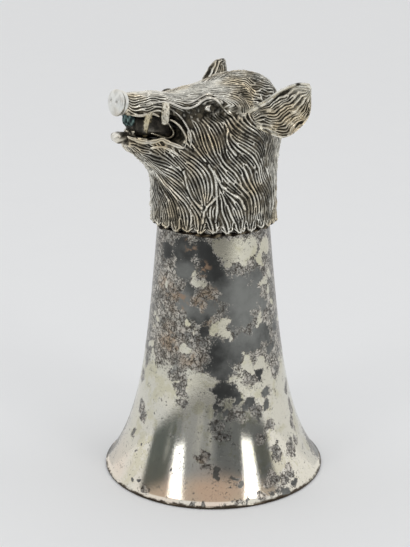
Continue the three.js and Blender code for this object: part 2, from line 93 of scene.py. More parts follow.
# %% Skins and pieces
def skins(rings):
    """Closed skins from an array [skin, ring, point, xyz]: quads between rings, a fan at each end.

    Returns the points, the quads and the triangles, numbered over all skins."""
    rings = np.asarray(rings, float)
    count, rows, columns = rings.shape[:3]
    row = np.arange(rows - 1)[:, None] * columns
    here = np.arange(columns)[None, :]
    after = (here + 1) % columns
    corners = [row + here, row + after, row + columns + after, row + columns + here]
    quads = np.stack(corners, -1).reshape(-1, 4)
    first, last = rows * columns, rows * columns + 1
    top = (rows - 1) * columns
    around, onward = np.arange(columns), (np.arange(columns) + 1) % columns
    low = np.stack([np.full(columns, first), onward, around], -1)
    high = np.stack([np.full(columns, last), top + around, top + onward], -1)
    tris = np.concatenate([low, high])
    ends = np.stack([rings[:, 0].mean(1), rings[:, -1].mean(1)], 1)
    points = np.concatenate([rings.reshape(count, -1, 3), ends], 1)
    step = (np.arange(count) * (rows * columns + 2))[:, None, None]
    return points.reshape(-1, 3), (quads[None] + step).reshape(-1, 4), (tris[None] + step).reshape(-1, 3)


def outward(points, quads, tris):
    """Turns all faces over where the mesh's signed volume, the sum of a.(b x c)/6, is negative."""
    fans = np.concatenate([quads[:, :3], quads[:, [0, 2, 3]], tris])
    a, b, c = (points[fans[:, i]] for i in range(3))
    if np.einsum("ij,ij->i", a, np.cross(b, c)).sum() < 0:
        return quads[:, ::-1], tris[:, ::-1]
    return quads, tris


def new_object(name, points, quads, tris, values=None):
    """Puts points in millimetres and their faces into a smooth mesh object, with named values per point."""
    quads, tris = outward(points, quads, tris)
    mesh = bpy.data.meshes.new(name)
    mesh.vertices.add(len(points))
    mesh.vertices.foreach_set("co", (points * MM).astype(np.float32).ravel())
    corners = np.concatenate([quads.ravel(), tris.ravel()]).astype(np.int32)
    starts = np.concatenate([np.arange(len(quads)) * 4, len(quads) * 4 + np.arange(len(tris)) * 3])
    mesh.loops.add(len(corners))
    mesh.loops.foreach_set("vertex_index", corners)
    mesh.polygons.add(len(starts))
    mesh.polygons.foreach_set("loop_start", starts.astype(np.int32))
    mesh.update(calc_edges=True)
    mesh.validate()
    mesh.shade_smooth()
    for key, value in (values or {}).items():
        layer = mesh.attributes.new(key, "FLOAT", "POINT")
        layer.data.foreach_set("value", np.asarray(value, np.float32).ravel())
    piece = bpy.data.objects.new(name, mesh)
    bpy.context.scene.collection.objects.link(piece)
    return piece


def with_ends(values):
    """Values per point of a skin array [skin, ring, point], with one more for each end's middle."""
    values = np.asarray(values, float)
    count = values.shape[0]
    ends = np.stack([values[:, 0].mean(-1), values[:, -1].mean(-1)], 1)
    return np.concatenate([values.reshape(count, -1), ends], 1)


def skin_object(name, rings, **values):
    """One object from skins [skin, ring, point, xyz] and values [skin, ring, point]."""
    points, quads, tris = skins(rings)
    return new_object(name, points, quads, tris, {k: with_ends(v) for k, v in values.items()})


def finish_piece(piece, material, slot, *nodes):
    """Gives a piece its finish, lets it ride on the cup and hides the CAD nodes it stands for."""
    piece.data.materials.clear()
    piece.data.materials.append(material)
    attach(piece, "root")
    if nodes:
        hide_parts(*nodes)
    print(piece.name, len(piece.data.vertices), "points,", len(piece.data.polygons), "faces")


def cast_piece(name, rings, crest, metal, slot, *nodes):
    """A finished piece of cast metal, from its skins and how far each point of them stands out."""
    finish_piece(skin_object(name, rings, crest=crest), metal, slot, *nodes)


def unit(v):
    """Vectors divided by their own lengths."""
    return v / np.maximum(np.linalg.norm(v, axis=-1, keepdims=True), 1e-9)


def rising(value, start, width):
    """0 up to start, 1 from start + width on, and straight between."""
    return np.clip((value - start) / width, 0, 1)


def falloff(value, width, power=2):
    """1 at zero and falling off to both sides: e^-(value / width)^power."""
    return np.exp(-((value / width) ** power))


def circle_steps(count):
    """Angles of even steps round a circle."""
    return np.arange(count) / count * 2 * np.pi


def on_near_side(p):
    """Points with those on the boar's right mirrored to its left, the side that the photograph shows."""
    return np.concatenate([np.abs(p[..., :1]), p[..., 1:]], -1)


def smooth_path(points, count):
    """A Catmull-Rom curve through points, read at evenly spaced lengths.

    Between two points the curve is half of 2b + (c-a)t + (2a-5b+4c-d)t^2 + (3b-a-3c+d)t^3."""
    p = np.asarray(points, float)
    p = np.concatenate([2 * p[:1] - p[1:2], p, 2 * p[-1:] - p[-2:-1]])
    t = np.linspace(0, 1, 24, endpoint=False)[None, :, None]
    a, b, c, d = (p[i:len(p) - 3 + i][:, None] for i in range(4))
    second, third = (2 * a - 5 * b + 4 * c - d) * t**2, (3 * b - a - 3 * c + d) * t**3
    curve = 0.5 * (2 * b + (c - a) * t + second + third)
    curve = np.concatenate([curve.reshape(-1, p.shape[1]), p[-2:-1]])
    length = np.concatenate([[0], np.cumsum(np.linalg.norm(np.diff(curve, axis=0), axis=1))])
    even = np.linspace(0, length[-1], count)
    return np.stack([np.interp(even, length, curve[:, i]) for i in range(p.shape[1])], 1)


def carried(path, normal, half_width, height, sides, sink):
    """An oval profile carried along a path: the middle, plus side times half_width cos a, plus normal times
    height sin a less the sink. Paths are [skin, ring, xyz] and sizes are [skin, ring]."""
    along = unit(np.gradient(path, axis=1))
    side = unit(np.cross(normal, along))
    up = unit(np.cross(along, side))
    a = circle_steps(sides)
    across = side[:, :, None] * (half_width[..., None] * np.cos(a))[..., None]
    rise = up[:, :, None] * (height[..., None] * np.sin(a) - sink)[..., None]
    return path[:, :, None] + across + rise


def bezier(a, b, c, count):
    """A quadratic curve (1-t)^2 a + 2t(1-t) b + t^2 c at count steps."""
    t = np.linspace(0, 1, count)[:, None]
    a, b, c = (np.array(point, float) for point in (a, b, c))
    return (1 - t) ** 2 * a + 2 * t * (1 - t) * b + t**2 * c


WAVE_COUNT = 9


def waves(p, length, seed):
    """A smooth random value near -1 to 1: a sum of sine waves of about one length in random directions."""
    rng = np.random.default_rng(seed)
    direction = unit(rng.normal(size=(WAVE_COUNT, p.shape[-1])))
    pace = 2 * np.pi / (length * rng.uniform(0.7, 1.5, WAVE_COUNT))
    phase = rng.uniform(0, 2 * np.pi, WAVE_COUNT)
    return np.sin((p @ direction.T) * pace + phase).sum(-1) / math.sqrt(WAVE_COUNT / 2) * 0.7


# %% [markdown]
# ## Finishes
#
# Old cast silver is bright only where hands and cloths rub it. In every groove it is nearly black. A node
# group turns one number, how far a point stands out, into that: a colour and a roughness. The casting,
# the ears, the teeth and the tusks all use it with their own values, so it is built once.

# %% Node helpers
BUMP_DEPTH = 0.0001


def new_group(name, inputs, outputs):
    """An empty shader node group with named input and output sockets, given as (name, kind, default)."""
    group = bpy.data.node_groups.new(name, "ShaderNodeTree")
    for key, kind, default in inputs:
        socket = group.interface.new_socket(name=key, in_out="INPUT", socket_type=kind)
        if default is not None:
            socket.default_value = default
    for key, kind in outputs:
        group.interface.new_socket(name=key, in_out="OUTPUT", socket_type=kind)
    return group, group.nodes.new("NodeGroupInput"), group.nodes.new("NodeGroupOutput")


def feed(tree, socket, value):
    """Links a node's output to a socket, or sets the socket's own value."""
    if isinstance(value, bpy.types.NodeSocket):
        tree.links.new(value, socket)
    else:
        socket.default_value = value


def node(tree, kind, settings=None, **inputs):
    """Adds a node, sets its properties, and sets or links its inputs by name or by number (as i0, i1)."""
    made = tree.nodes.new(kind)
    for key, value in (settings or {}).items():
        setattr(made, key, value)
    for key, value in inputs.items():
        numbered = key[0] == "i" and key[1:].isdigit()
        feed(tree, made.inputs[int(key[1:]) if numbered else key.replace("_", " ")], value)
    return made


def math_node(tree, operation, a, b=0.5, c=0.0):
    """One step of arithmetic on two or three values."""
    return node(tree, "ShaderNodeMath", {"operation": operation}, i0=a, i1=b, i2=c).outputs[0]


def times(tree, a, b):
    """a times b."""
    return math_node(tree, "MULTIPLY", a, b)


def plus(tree, a, b):
    """a plus b."""
    return math_node(tree, "ADD", a, b)


def higher(tree, a, b):
    """The higher of a and b."""
    return math_node(tree, "MAXIMUM", a, b)


def scaled(tree, a, b, c):
    """a times b, plus c."""
    return math_node(tree, "MULTIPLY_ADD", a, b, c)


def ramp(tree, value, low, high, start=0.0, end=1.0):
    """Value taken smoothly from start to end as it goes from low to high."""
    made = node(tree, "ShaderNodeMapRange", {"interpolation_type": "SMOOTHSTEP"}, Value=value,
                From_Min=low, From_Max=high, To_Min=start, To_Max=end)
    return made.outputs["Result"]


def mixed(tree, factor, a, b):
    """Two colours mixed by a factor."""
    return node(tree, "ShaderNodeMix", {"data_type": "RGBA"}, i0=factor, i6=a, i7=b).outputs[2]


def noise(tree, place, scale, detail=4.0, roughness=0.55):
    """Cloudy noise of a scale, in lumps per metre."""
    made = node(tree, "ShaderNodeTexNoise", None, Vector=place, Scale=scale, Detail=detail,
                Roughness=roughness)
    return made.outputs["Fac"]


def dot(tree, vector, axis):
    """How far a vector goes along a fixed axis: their dot product."""
    made = node(tree, "ShaderNodeVectorMath", {"operation": "DOT_PRODUCT"}, i0=vector, i1=tuple(axis))
    return made.outputs["Value"]


def height_of(tree, vector):
    """A vector's z."""
    return node(tree, "ShaderNodeSeparateXYZ", None, Vector=vector).outputs["Z"]


def attribute(tree, key):
    """A value that the mesh carries at its points."""
    return node(tree, "ShaderNodeAttribute", {"attribute_name": key}).outputs["Fac"]


def new_material(name):
    """A material with its node tree, its shader and the place on the object."""
    material = bpy.data.materials.new(name)
    material.use_nodes = True
    tree = material.node_tree
    return material, tree, tree.nodes["Principled BSDF"], node(tree, "ShaderNodeTexCoord").outputs["Object"]


def shade(tree, shader, color, roughness, height, bump, metallic=1.0):
    """Gives the shader its colour, its roughness, how metallic it is, and a bump from a height."""
    lift = node(tree, "ShaderNodeBump", None, Strength=bump, Distance=BUMP_DEPTH, Height=height)
    feed(tree, shader.inputs["Base Color"], color)
    feed(tree, shader.inputs["Roughness"], roughness)
    feed(tree, shader.inputs["Metallic"], metallic)
    feed(tree, shader.inputs["Normal"], lift.outputs["Normal"])


def rgb(r, g, b):
    """A colour with full alpha."""
    return (r, g, b, 1.0)


# %% The rubbed casting
def build_rubbed_casting():
    """Colour and roughness from how far a point stands out, broken up by noise at two sizes."""
    group, source, result = new_group(
        "rubbed_casting",
        [("Stands out", "NodeSocketFloat", 1.0), ("Place", "NodeSocketVector", None),
         ("Bright", "NodeSocketColor", None), ("Warm", "NodeSocketColor", None),
         ("Dark", "NodeSocketColor", None), ("Wear", "NodeSocketFloat", 0.5),
         ("Polish", "NodeSocketFloat", 0.3), ("Soot", "NodeSocketFloat", 0.0)],
        [("Color", "NodeSocketColor"), ("Roughness", "NodeSocketFloat"), ("Height", "NodeSocketFloat")],
    )
    stands_out, place, bright_metal, warm, black, wear, polish, soot = source.outputs[:8]
    cloud = noise(group, place, 160.0, 3.0)
    grain = noise(group, place, 1900.0, 3.0, 0.6)
    lifted = plus(group, stands_out, scaled(group, cloud, 0.5, -0.25))
    lifted = plus(group, lifted, scaled(group, grain, 0.5, -0.25))
    unworn = math_node(group, "SUBTRACT", 1.0, wear)
    bright = ramp(group, math_node(group, "SUBTRACT", lifted, unworn), -0.25, 0.37)
    patchy = ramp(group, noise(group, place, 330.0, 2.0), 0.34, 0.54, 0.8, 1.0)
    bright = times(group, math_node(group, "POWER", bright, 1.35), patchy)
    dull = mixed(group, 0.16, black, warm)
    dark = mixed(group, ramp(group, noise(group, place, 480.0, 3.0), 0.42, 0.66), black, dull)
    tint = mixed(group, ramp(group, noise(group, place, 90.0, 2.0), 0.45, 0.68), bright_metal, warm)
    # Soot and painted shade darken the rubbed metal by the soot value.
    soot_and_shade_share = times(group, soot, ramp(group, cloud, 0.3, 0.6, 0.7, 1.0))
    bright = times(group, bright, math_node(group, "SUBTRACT", 1.0, soot_and_shade_share))
    rough = node(group, "ShaderNodeMapRange", None, Value=bright, To_Min=0.62, To_Max=polish)
    feed(group, result.inputs["Color"], mixed(group, bright, dark, tint))
    feed(group, result.inputs["Roughness"], rough.outputs["Result"])
    feed(group, result.inputs["Height"], scaled(group, grain, 0.6, cloud))
    return group


RUBBED_CASTING = build_rubbed_casting()


def casting_material(name, bright, warm, dark, wear, polish, bump, metallic):
    """Cast metal whose bright and dark parts follow a piece's own attribute."""
    material, tree, shader, place = new_material(name)
    group = node(tree, "ShaderNodeGroup", {"node_tree": RUBBED_CASTING}, Place=place,
                 Stands_out=attribute(tree, "crest"), Soot=attribute(tree, "soot"), Bright=rgb(*bright),
                 Warm=rgb(*warm), Dark=rgb(*dark), Wear=wear, Polish=polish)
    color, roughness, height = (group.outputs[key] for key in ("Color", "Roughness", "Height"))
    shade(tree, shader, color, roughness, height, bump, metallic)
    return material


# Each metal has a bright, a warm and a dark colour, its wear, polish and bump, and how metallic it is.
METALS = {
    "cast_hair": ((0.89, 0.87, 0.78), (0.76, 0.66, 0.48), (0.032, 0.030, 0.024), 0.58, 0.22, 0.25, 1.0),
    "pale_casting": ((0.84, 0.845, 0.81), (0.80, 0.76, 0.67), (0.12, 0.11, 0.09), 0.9, 0.42, 0.4, 1.0),
    "rubbed_lip": ((0.84, 0.815, 0.74), (0.68, 0.61, 0.46), (0.04, 0.037, 0.03), 0.62, 0.27, 0.5, 1.0),
    "tusk_metal": ((0.76, 0.73, 0.62), (0.60, 0.51, 0.31), (0.07, 0.058, 0.035), 0.62, 0.3, 0.9, 1.0),
    "darkened": ((0.32, 0.315, 0.28), (0.24, 0.21, 0.17), (0.045, 0.043, 0.037), 0.5, 0.36, 0.25, 1.0),
    "green_corrosion": ((0.045, 0.15, 0.16), (0.24, 0.36, 0.33), (0.006, 0.018, 0.022), 0.5, 0.4, 1.0, 0.4),
    "old_solder": ((0.26, 0.22, 0.15), (0.20, 0.14, 0.08), (0.013, 0.011, 0.009), 0.35, 0.4, 1.0, 1.0),
}
hair_metal, pale_metal, lip_metal, tusk_metal, dark_metal, green_metal, solder_metal = (
    casting_material(name, *values) for name, values in METALS.items())

# %% [markdown]
# ## The form of the head
#
# The head is a field: a number for every point in space that is negative inside, zero on the skin and
# positive outside. A rod makes the neck and the skull, an egg the nape, a boxy tapering form the muzzle,
# and short rods the brows. Each is melted into the next with a smooth union, and the eye's hollow is
# carved out with a smooth intersection. These are the same formulas that the CAD model's casting has, so
# the skin made here lies on the frame's.

# %% Field of the head
FIELD_STEP = 0.06


def blend(a, b, k):
    """Smooth union of two fields: the smaller, less (k - |a-b|)^2 / 4k where they are within k."""
    near = np.maximum(k - np.abs(a - b), 0) / k
    return np.minimum(a, b) - near**2 * k / 4


def within(a, b, k):
    """Smooth intersection, the blend turned inside out."""
    return -blend(-a, -b, k)


def egg(p, centre, radii, power=2.0):
    """A ball stretched to three radii: (sum of |d/r|^power)^(1/power) - 1, times the smallest radius."""
    size = (np.abs((p - np.array(centre)) / np.array(radii)) ** power).sum(-1)
    return (size ** (1 / power) - 1) * min(radii)


def rod(p, a, b, ra, rb):
    """The distance to the segment from a to b, less a radius that goes from ra to rb."""
    a, b = np.array(a, float), np.array(b, float)
    t = np.clip(((p - a) @ (b - a)) / ((b - a) @ (b - a)), 0, 1)
    return np.linalg.norm(p - a - t[..., None] * (b - a), axis=-1) - (ra + (rb - ra) * t)


def muzzle(p):
    """A boxy section that narrows forwards, |x/w|^n + |h/t|^n, cut off at the snout and behind the head."""
    x, y, h = p[..., 0], p[..., 1], p[..., 2]
    ahead = (-y - HEAD_RADIUS) / (SNOUT_REACH - HEAD_RADIUS)
    forward = np.clip(ahead, 0, 1)
    under = THROAT + (CHIN - THROAT) * ahead
    top = BRIDGE - 0.7 * falloff(-y - MOUTH_CORNER, 3)
    half_width = MUZZLE_WIDTH / 2 + 4.4 * (1 - forward) ** 1.6 + 0.35 * np.maximum(0, HEAD_RADIUS + y)
    half_height = np.maximum((top - under) / 2, 0.5)
    boxy = 3.3 + (2.4 - 3.3) * forward
    section = np.abs(x / half_width) ** boxy + np.abs((h - top + half_height) / half_height) ** boxy
    side = (section ** (1 / boxy) - 1) * np.minimum(half_width, half_height)
    return within(within(side, -y - SNOUT_REACH, 2.4), y - 4, 4)


def head_field(points):
    """The whole head, in [x, y, height above the collar]."""
    p = on_near_side(np.asarray(points, float))
    f = rod(p, (0, 0, -HEAD_RADIUS), (0, 0, SKULL_HEIGHT - HEAD_RADIUS - 3.4), HEAD_RADIUS, HEAD_RADIUS)
    f = blend(f, egg(p, (0, SKULL_BACK - 11, SKULL_HEIGHT - 14), (12, 11, 14), 2.6), 4)
    f = blend(f, muzzle(p), 4)
    f = blend(f, rod(p, (6, -19.8, BRIDGE - 5.3), (11.6, -9, BRIDGE - 2.3), 1.2, 1.6), 2.4)
    f = blend(f, rod(p, (11.6, -9, BRIDGE - 2.3), (14.4, 0, BRIDGE - 4.8), 1.6, 1.6), 2.4)
    return within(f, -egg(p, (14.4, -9.5, BRIDGE - 5.5), (3, 7.5, 2.3)), 1.5)


def outward_of(p):
    """The field's gradient, by differences over a small step: it points straight out of the skin."""
    across = np.eye(3) * FIELD_STEP
    return unit(np.stack([head_field(p + d) - head_field(p - d) for d in across], -1))


def onto_skin(p, level=0.0):
    """Points moved along the gradient, twice, until the field reaches a level."""
    for _ in range(2):
        p = p - (head_field(p) - level)[..., None] * outward_of(p)
    return p


probe = np.array([[0, 0, 41.6], [0, -31, 34], [19.2, 0, 6]])
print("field at three places on the skin", head_field(probe).round(2))

# %% [markdown]
# ## Reading the photograph's angle
#
# The camera stands where the photograph was taken from. Its place was fitted to the rim's ellipse and the
# cup's height. The same numbers also turn a pixel of the photograph into a place on the head: a ray is
# sent from the camera through the pixel, and it steps forwards by the field's own value until it touches
# the skin. That is how the lie of the hair is carried over, line by line.

# %% Camera numbers and rays
PICTURE = (410, 547)
FOCAL_PIXELS = 1177.0
CAMERA_DISTANCE = 350.0
CAMERA_HEIGHT = 170.0
CAMERA_AZIMUTH = math.radians(60)
CAMERA_PITCH = math.radians(17)
AXIS_PIXEL = 213.5
camera_back = np.array([math.sin(CAMERA_AZIMUTH), -math.cos(CAMERA_AZIMUTH), 0])
camera_right = np.array([math.cos(CAMERA_AZIMUTH), math.sin(CAMERA_AZIMUTH), 0])
camera_place = camera_back * CAMERA_DISTANCE + [0, 0, CAMERA_HEIGHT]
camera_from_head = camera_place - [0, 0, COLLAR]


def pixel_rays(pixels):
    """Unit directions through pixels: forwards, plus right by x/focal and up by -y/focal."""
    pixels = np.asarray(pixels, float)
    right = (pixels[..., 0] - AXIS_PIXEL) / FOCAL_PIXELS
    up = (PICTURE[1] / 2 - pixels[..., 1]) / FOCAL_PIXELS
    level = math.cos(CAMERA_PITCH) + up * math.sin(CAMERA_PITCH)
    rise = up * math.cos(CAMERA_PITCH) - math.sin(CAMERA_PITCH)
    level_part = -camera_back * level[..., None] + camera_right * right[..., None]
    return unit(level_part + np.array([0, 0, 1.0]) * rise[..., None])


def pixels_on_head(pixels):
    """Where rays through pixels meet the head: each goes on by 0.6 of the field, until it is there."""
    ray = pixel_rays(pixels)
    t = np.full(ray.shape[:-1], CAMERA_DISTANCE - 60.0)
    for _ in range(70):
        t = np.minimum(t + 0.6 * head_field(camera_from_head + ray * t[..., None]), CAMERA_DISTANCE + 40)
    return camera_from_head + ray * t[..., None]


def pixels_on_side(pixels, x):
    """Where rays through pixels meet the upright plane at x on the boar's left."""
    ray = pixel_rays(pixels)
    t = (x - camera_from_head[0]) / ray[..., 0]
    return camera_from_head + ray * t[..., None]


def blotch_value(points, blotches, meet):
    """The highest of 1.3 - distance / radius over a set of blotches, held between 0 and 1. A blotch is a
    pixel and a radius in pixels, and meet gives the place where the pixel's ray ends."""
    spots = np.array(list(blotches.values()), float)
    middle = meet(spots[:, :2])
    radius = spots[:, 2] * CAMERA_DISTANCE / FOCAL_PIXELS
    best = np.zeros(points.shape[:-1])
    for m, r in zip(middle, radius):
        best = np.maximum(best, np.clip(1.3 - np.linalg.norm(points - m, axis=-1) / r, 0, 1))
    return best


print("the eye's pixel lies at", pixels_on_head(np.array([[209.0, 107.0]])).round(1))

# %% [markdown]
# ## The skin of the casting
#
# The skin is the field met by rays, in a fan of sections: they rise level up the neck, tilt forwards over
# the throat and go on upright along the muzzle. Each section gives one ring of the skin. Only the bare form
# is worked out here. The hair is pressed into it further on.

# %% Rings of the skin
LOCKS = 30
LOCK_DROP = 1.9
ANGLES = 660
NECK_RINGS, FAN_RINGS, FRONT_RINGS = 58, 330, 26
NECK_TOP = 11.8
FAN_AXIS = np.array([-26.0, 12.0])
MUZZLE_MIDDLE = 33.9
FAR_BROW = np.array([-10.6, -11.5, BRIDGE - 2])
FAR_BROW_WIDTHS = np.array([3.8, 7.5, 4.2])
FAR_BROW_DROP = 2.9


def head_sections():
    """Middles (y, h) and tilts of the sections."""
    y, h = FAN_AXIS
    tilt = np.linspace(0, np.pi / 2, FAN_RINGS)
    out = -y + (MUZZLE_MIDDLE - h + y) * tilt / (np.pi / 2)
    fan = np.stack([y + out * np.cos(tilt), h + out * np.sin(tilt), tilt], 1)
    level = np.zeros(NECK_RINGS)
    neck = np.stack([level, np.linspace(0.0, NECK_TOP, NECK_RINGS), level], 1)
    t = np.linspace(0.05, 0.985, FRONT_RINGS)
    ones = np.ones(FRONT_RINGS)
    front = np.stack([y - (SNOUT_REACH + y) * t, MUZZLE_MIDDLE * ones, np.pi / 2 * ones], 1)
    return np.concatenate([neck, fan, front])


def ring_reach(sections, angles):
    """How far out of each section's middle the field is zero, by halving an interval."""
    y, h, tilt = (sections[:, i][:, None] for i in range(3))
    across, up = np.cos(angles), np.sin(angles)
    way = np.stack([across + 0 * y, up * np.cos(tilt), up * np.sin(tilt)], -1)
    middle = np.stack([0 * y, y, h], -1)
    near, far = np.zeros(way.shape[:2]), np.full(way.shape[:2], SKULL_HEIGHT)
    for _ in range(14):
        half = (near + far) / 2
        inside = head_field(middle + way * half[..., None]) < 0
        near, far = np.where(inside, half, near), np.where(inside, far, half)
    return middle + way * near[..., None]


angles = (np.arange(ANGLES) + 0.5) / ANGLES * 2 * np.pi
skin = ring_reach(head_sections(), angles)
skin_out = outward_of(skin)


def far_brow_drop(p):
    """The right brow sits lower than the left: the drop fades from its middle as a bell curve."""
    return FAR_BROW_DROP * np.exp(-(((p - FAR_BROW) / FAR_BROW_WIDTHS) ** 2).sum(-1))


print("skin", skin.shape, "highest point", skin[..., 2].max().round(2), "mm above the collar")

# %% [markdown]
# ## The lie of the hair
#
# The hair on the real casting runs in long wavy strands that meet in a parting down the cheek. Its lie is
# given by lines. Each has the name of its place and a few pixels of the photograph, x and y in turn. A
# smooth curve through them is cut into short strokes, and the rays turn these into places and directions
# on the head. Where the photograph shows nothing, a few more strokes are given straight in millimetres. At
# any other place the direction is the mean of all the strokes, each weighted by nearness.

# %% Strokes
HAIR_LINES = {
    "bridge_front": (135, 95, 155, 96),
    "bridge_dip": (156, 96, 171, 100),
    "bridge_to_brow": (170, 101, 186, 106),
    "bridge_top": (150, 93, 170, 94),
    "muzzle_side": (136, 101, 158, 104),
    "muzzle_lip": (138, 108, 155, 111),
    "forehead_rise": (180, 88, 208, 84),
    "forehead_middle": (180, 92, 212, 88),
    "forehead_side": (192, 99, 212, 93),
    "forehead_back": (212, 82, 235, 79),
    "temple": (216, 92, 236, 95),
    "brow_tail": (225, 100, 236, 111),
    "crown": (240, 74, 259, 79),
    "crown_side": (244, 86, 268, 91),
    "crown_low": (248, 96, 266, 98),
    "ear_front": (239, 99, 242, 110),
    "crown_back": (255, 81, 272, 88),
    "mouth_above": (178, 115, 188, 125),
    "mouth_behind": (189, 125, 191, 138),
    "jaw_edge": (132, 144, 149, 154, 166, 164, 178, 172),
    "jaw": (155, 145, 171, 154, 188, 165, 203, 170),
    "jaw_top": (170, 148, 185, 154, 196, 160, 208, 169),
    "jaw_foot": (180, 148, 187, 155, 194, 159, 201, 162, 208, 168),
    "cheek_front": (181, 117, 187, 126, 189, 139, 196, 150, 205, 161, 213, 169),
    "cheek_second": (194, 128, 198, 143, 204, 153, 211, 165),
    "cheek_third": (195, 123, 201, 128, 203, 136, 205, 146, 211, 156, 216, 163),
    "cheek_fork": (212, 133, 216, 141, 215, 149, 216, 159, 221, 166),
    "eye_below": (201, 117, 210, 125, 217, 131, 223, 142, 224, 151, 226, 161, 233, 168),
    "eye_corner": (211, 115, 216, 121, 220, 131, 224, 138),
    "eye_behind": (217, 114, 223, 121, 224, 133, 226, 141),
    "ear_below": (226, 118, 234, 125, 241, 131),
    "jowl_parting": (229, 131, 227, 138, 230, 148, 234, 154),
    "jowl_high": (239, 131, 249, 139, 258, 147),
    "jowl": (230, 133, 237, 139, 249, 145, 257, 152),
    "jowl_low": (232, 147, 241, 152, 251, 158, 258, 168),
    "jowl_foot": (226, 151, 230, 158, 237, 162, 243, 169, 248, 173, 250, 182),
    "rear_high": (259, 152, 262, 161, 266, 173),
    "rear_top": (272, 145, 269, 155),
    "throat_edge": (152, 170, 154, 195, 156, 220),
    "throat_side": (158, 194, 163, 205, 165, 223, 166, 232),
    "throat": (161, 180, 166, 190, 179, 205, 183, 218, 183, 232),
    "throat_high": (160, 173, 172, 185, 184, 197, 192, 207, 196, 220, 196, 232),
    "neck_front": (158, 167, 171, 174, 183, 184, 188, 193, 195, 204, 201, 212),
    "pocket_front": (183, 172, 187, 186, 192, 198, 201, 207),
    "pocket_back": (193, 173, 201, 180, 203, 190, 203, 205),
    "beside_parting": (204, 172, 208, 182, 209, 190, 208, 201),
    "parting": (213, 169, 216, 184, 217, 198, 217, 210, 216, 228),
    "parting_left": (216, 200, 210, 204, 204, 212, 204, 223, 204, 233),
    "parting_foot": (219, 215, 223, 223, 224, 233),
    "side_fork": (220, 198, 225, 212, 232, 222, 233, 232),
    "side_near": (218, 187, 227, 199, 233, 205, 240, 215, 240, 232),
    "side": (216, 172, 222, 186, 230, 193, 240, 199, 244, 211, 245, 223),
    "side_arc": (222, 168, 229, 179, 237, 186),
    "side_high": (230, 167, 238, 176, 242, 187, 247, 196, 252, 210, 251, 228),
    "side_low": (246, 186, 252, 191, 257, 198, 261, 211, 257, 227),
    "side_edge": (256, 172, 257, 181, 262, 190, 267, 198, 267, 215, 264, 228),
    "rear": (266, 176, 271, 200, 270, 222),
}
UNSEEN_STROKES = {
    "nose_ridge": ((0, -24, 41), (0, 1, 0)),
    "forehead": ((0, -8, 41), (0, 1, 0.05)),
    "crown_ridge": ((0, 6, 45), (0, 1, -0.1)),
    "nape_top": ((0, 16, 40), (0, 0.7, -0.7)),
    "nape": ((0, 20, 30), (0, 0.1, -1)),
    "nape_side": ((11, 18, 28), (0.2, 0.1, -1)),
    "nape_foot": ((0, 19, 8), (0, 0, -1)),
    "back_side": ((14, 13, 16), (0, 0.2, -1)),
    "back_side_foot": ((14, 13, 4), (0, 0, -1)),
    "behind_ear": ((15, 9, 30), (0, 0.5, -1)),
    "under_chin": ((0, -27, 25), (0, 1, -0.7)),
    "throat_middle": ((0, -21, 17), (0, 0.6, -1)),
    "throat_foot": ((0, -19, 8), (0, 0, -1)),
}
STROKE_PIXELS = 8.0


def strokes_of(line):
    """A line's pixels as short strokes end to end, from a smooth curve through them."""
    pixels = np.array(line, float).reshape(-1, 2)
    length = np.linalg.norm(np.diff(pixels, axis=0), axis=1).sum()
    curve = smooth_path(pixels, int(length / STROKE_PIXELS) + 2)
    return np.stack([curve[:-1], curve[1:]], 1)


stroke_ends = pixels_on_head(np.concatenate([strokes_of(line) for line in HAIR_LINES.values()]))
unseen_places, unseen_ways = zip(*UNSEEN_STROKES.values())
stroke_place = np.concatenate([stroke_ends.mean(1), unseen_places])
stroke_way = unit(np.concatenate([stroke_ends[:, 1] - stroke_ends[:, 0], unseen_ways]))
farthest = np.abs(head_field(stroke_place)).max()
print(len(stroke_place), "strokes, the farthest", farthest.round(1), "mm off the skin")

# %% [markdown]
# A strand starts anywhere on the skin and follows the lie of the hair both ways in small steps, pulled
# back onto the skin after each. All strands are traced at once. The lie is turned a little to and fro by a
# smooth random value, which makes the hair wave in locks as on the real one.

# %% Tracing strands
STEP = 0.36
STROKE_REACH = 1.9
WAVE_ANGLE = math.radians(11)
WAVE_LENGTH = 8.0
CHOPPY_ANGLE = math.radians(30)
CHOPPY_LENGTH = 4.5
LOCK_HEIGHT = 5.0
LOCK_PULL = 2.2
FAR_REACH = 14.0
FAR_WEIGHT = 1e-4
STRANDS, STRAND_SEED, WAVE_SEED = 11000, 4, 11
STEPS_AHEAD, STEPS_BEHIND = 46, 34


def lock_place(azimuth):
    """Where an azimuth lies across its lock: -0.5 and 0.5 at the notches, 0 at the tip."""
    return np.mod(azimuth * LOCKS / (2 * np.pi), 1.0) - 0.5


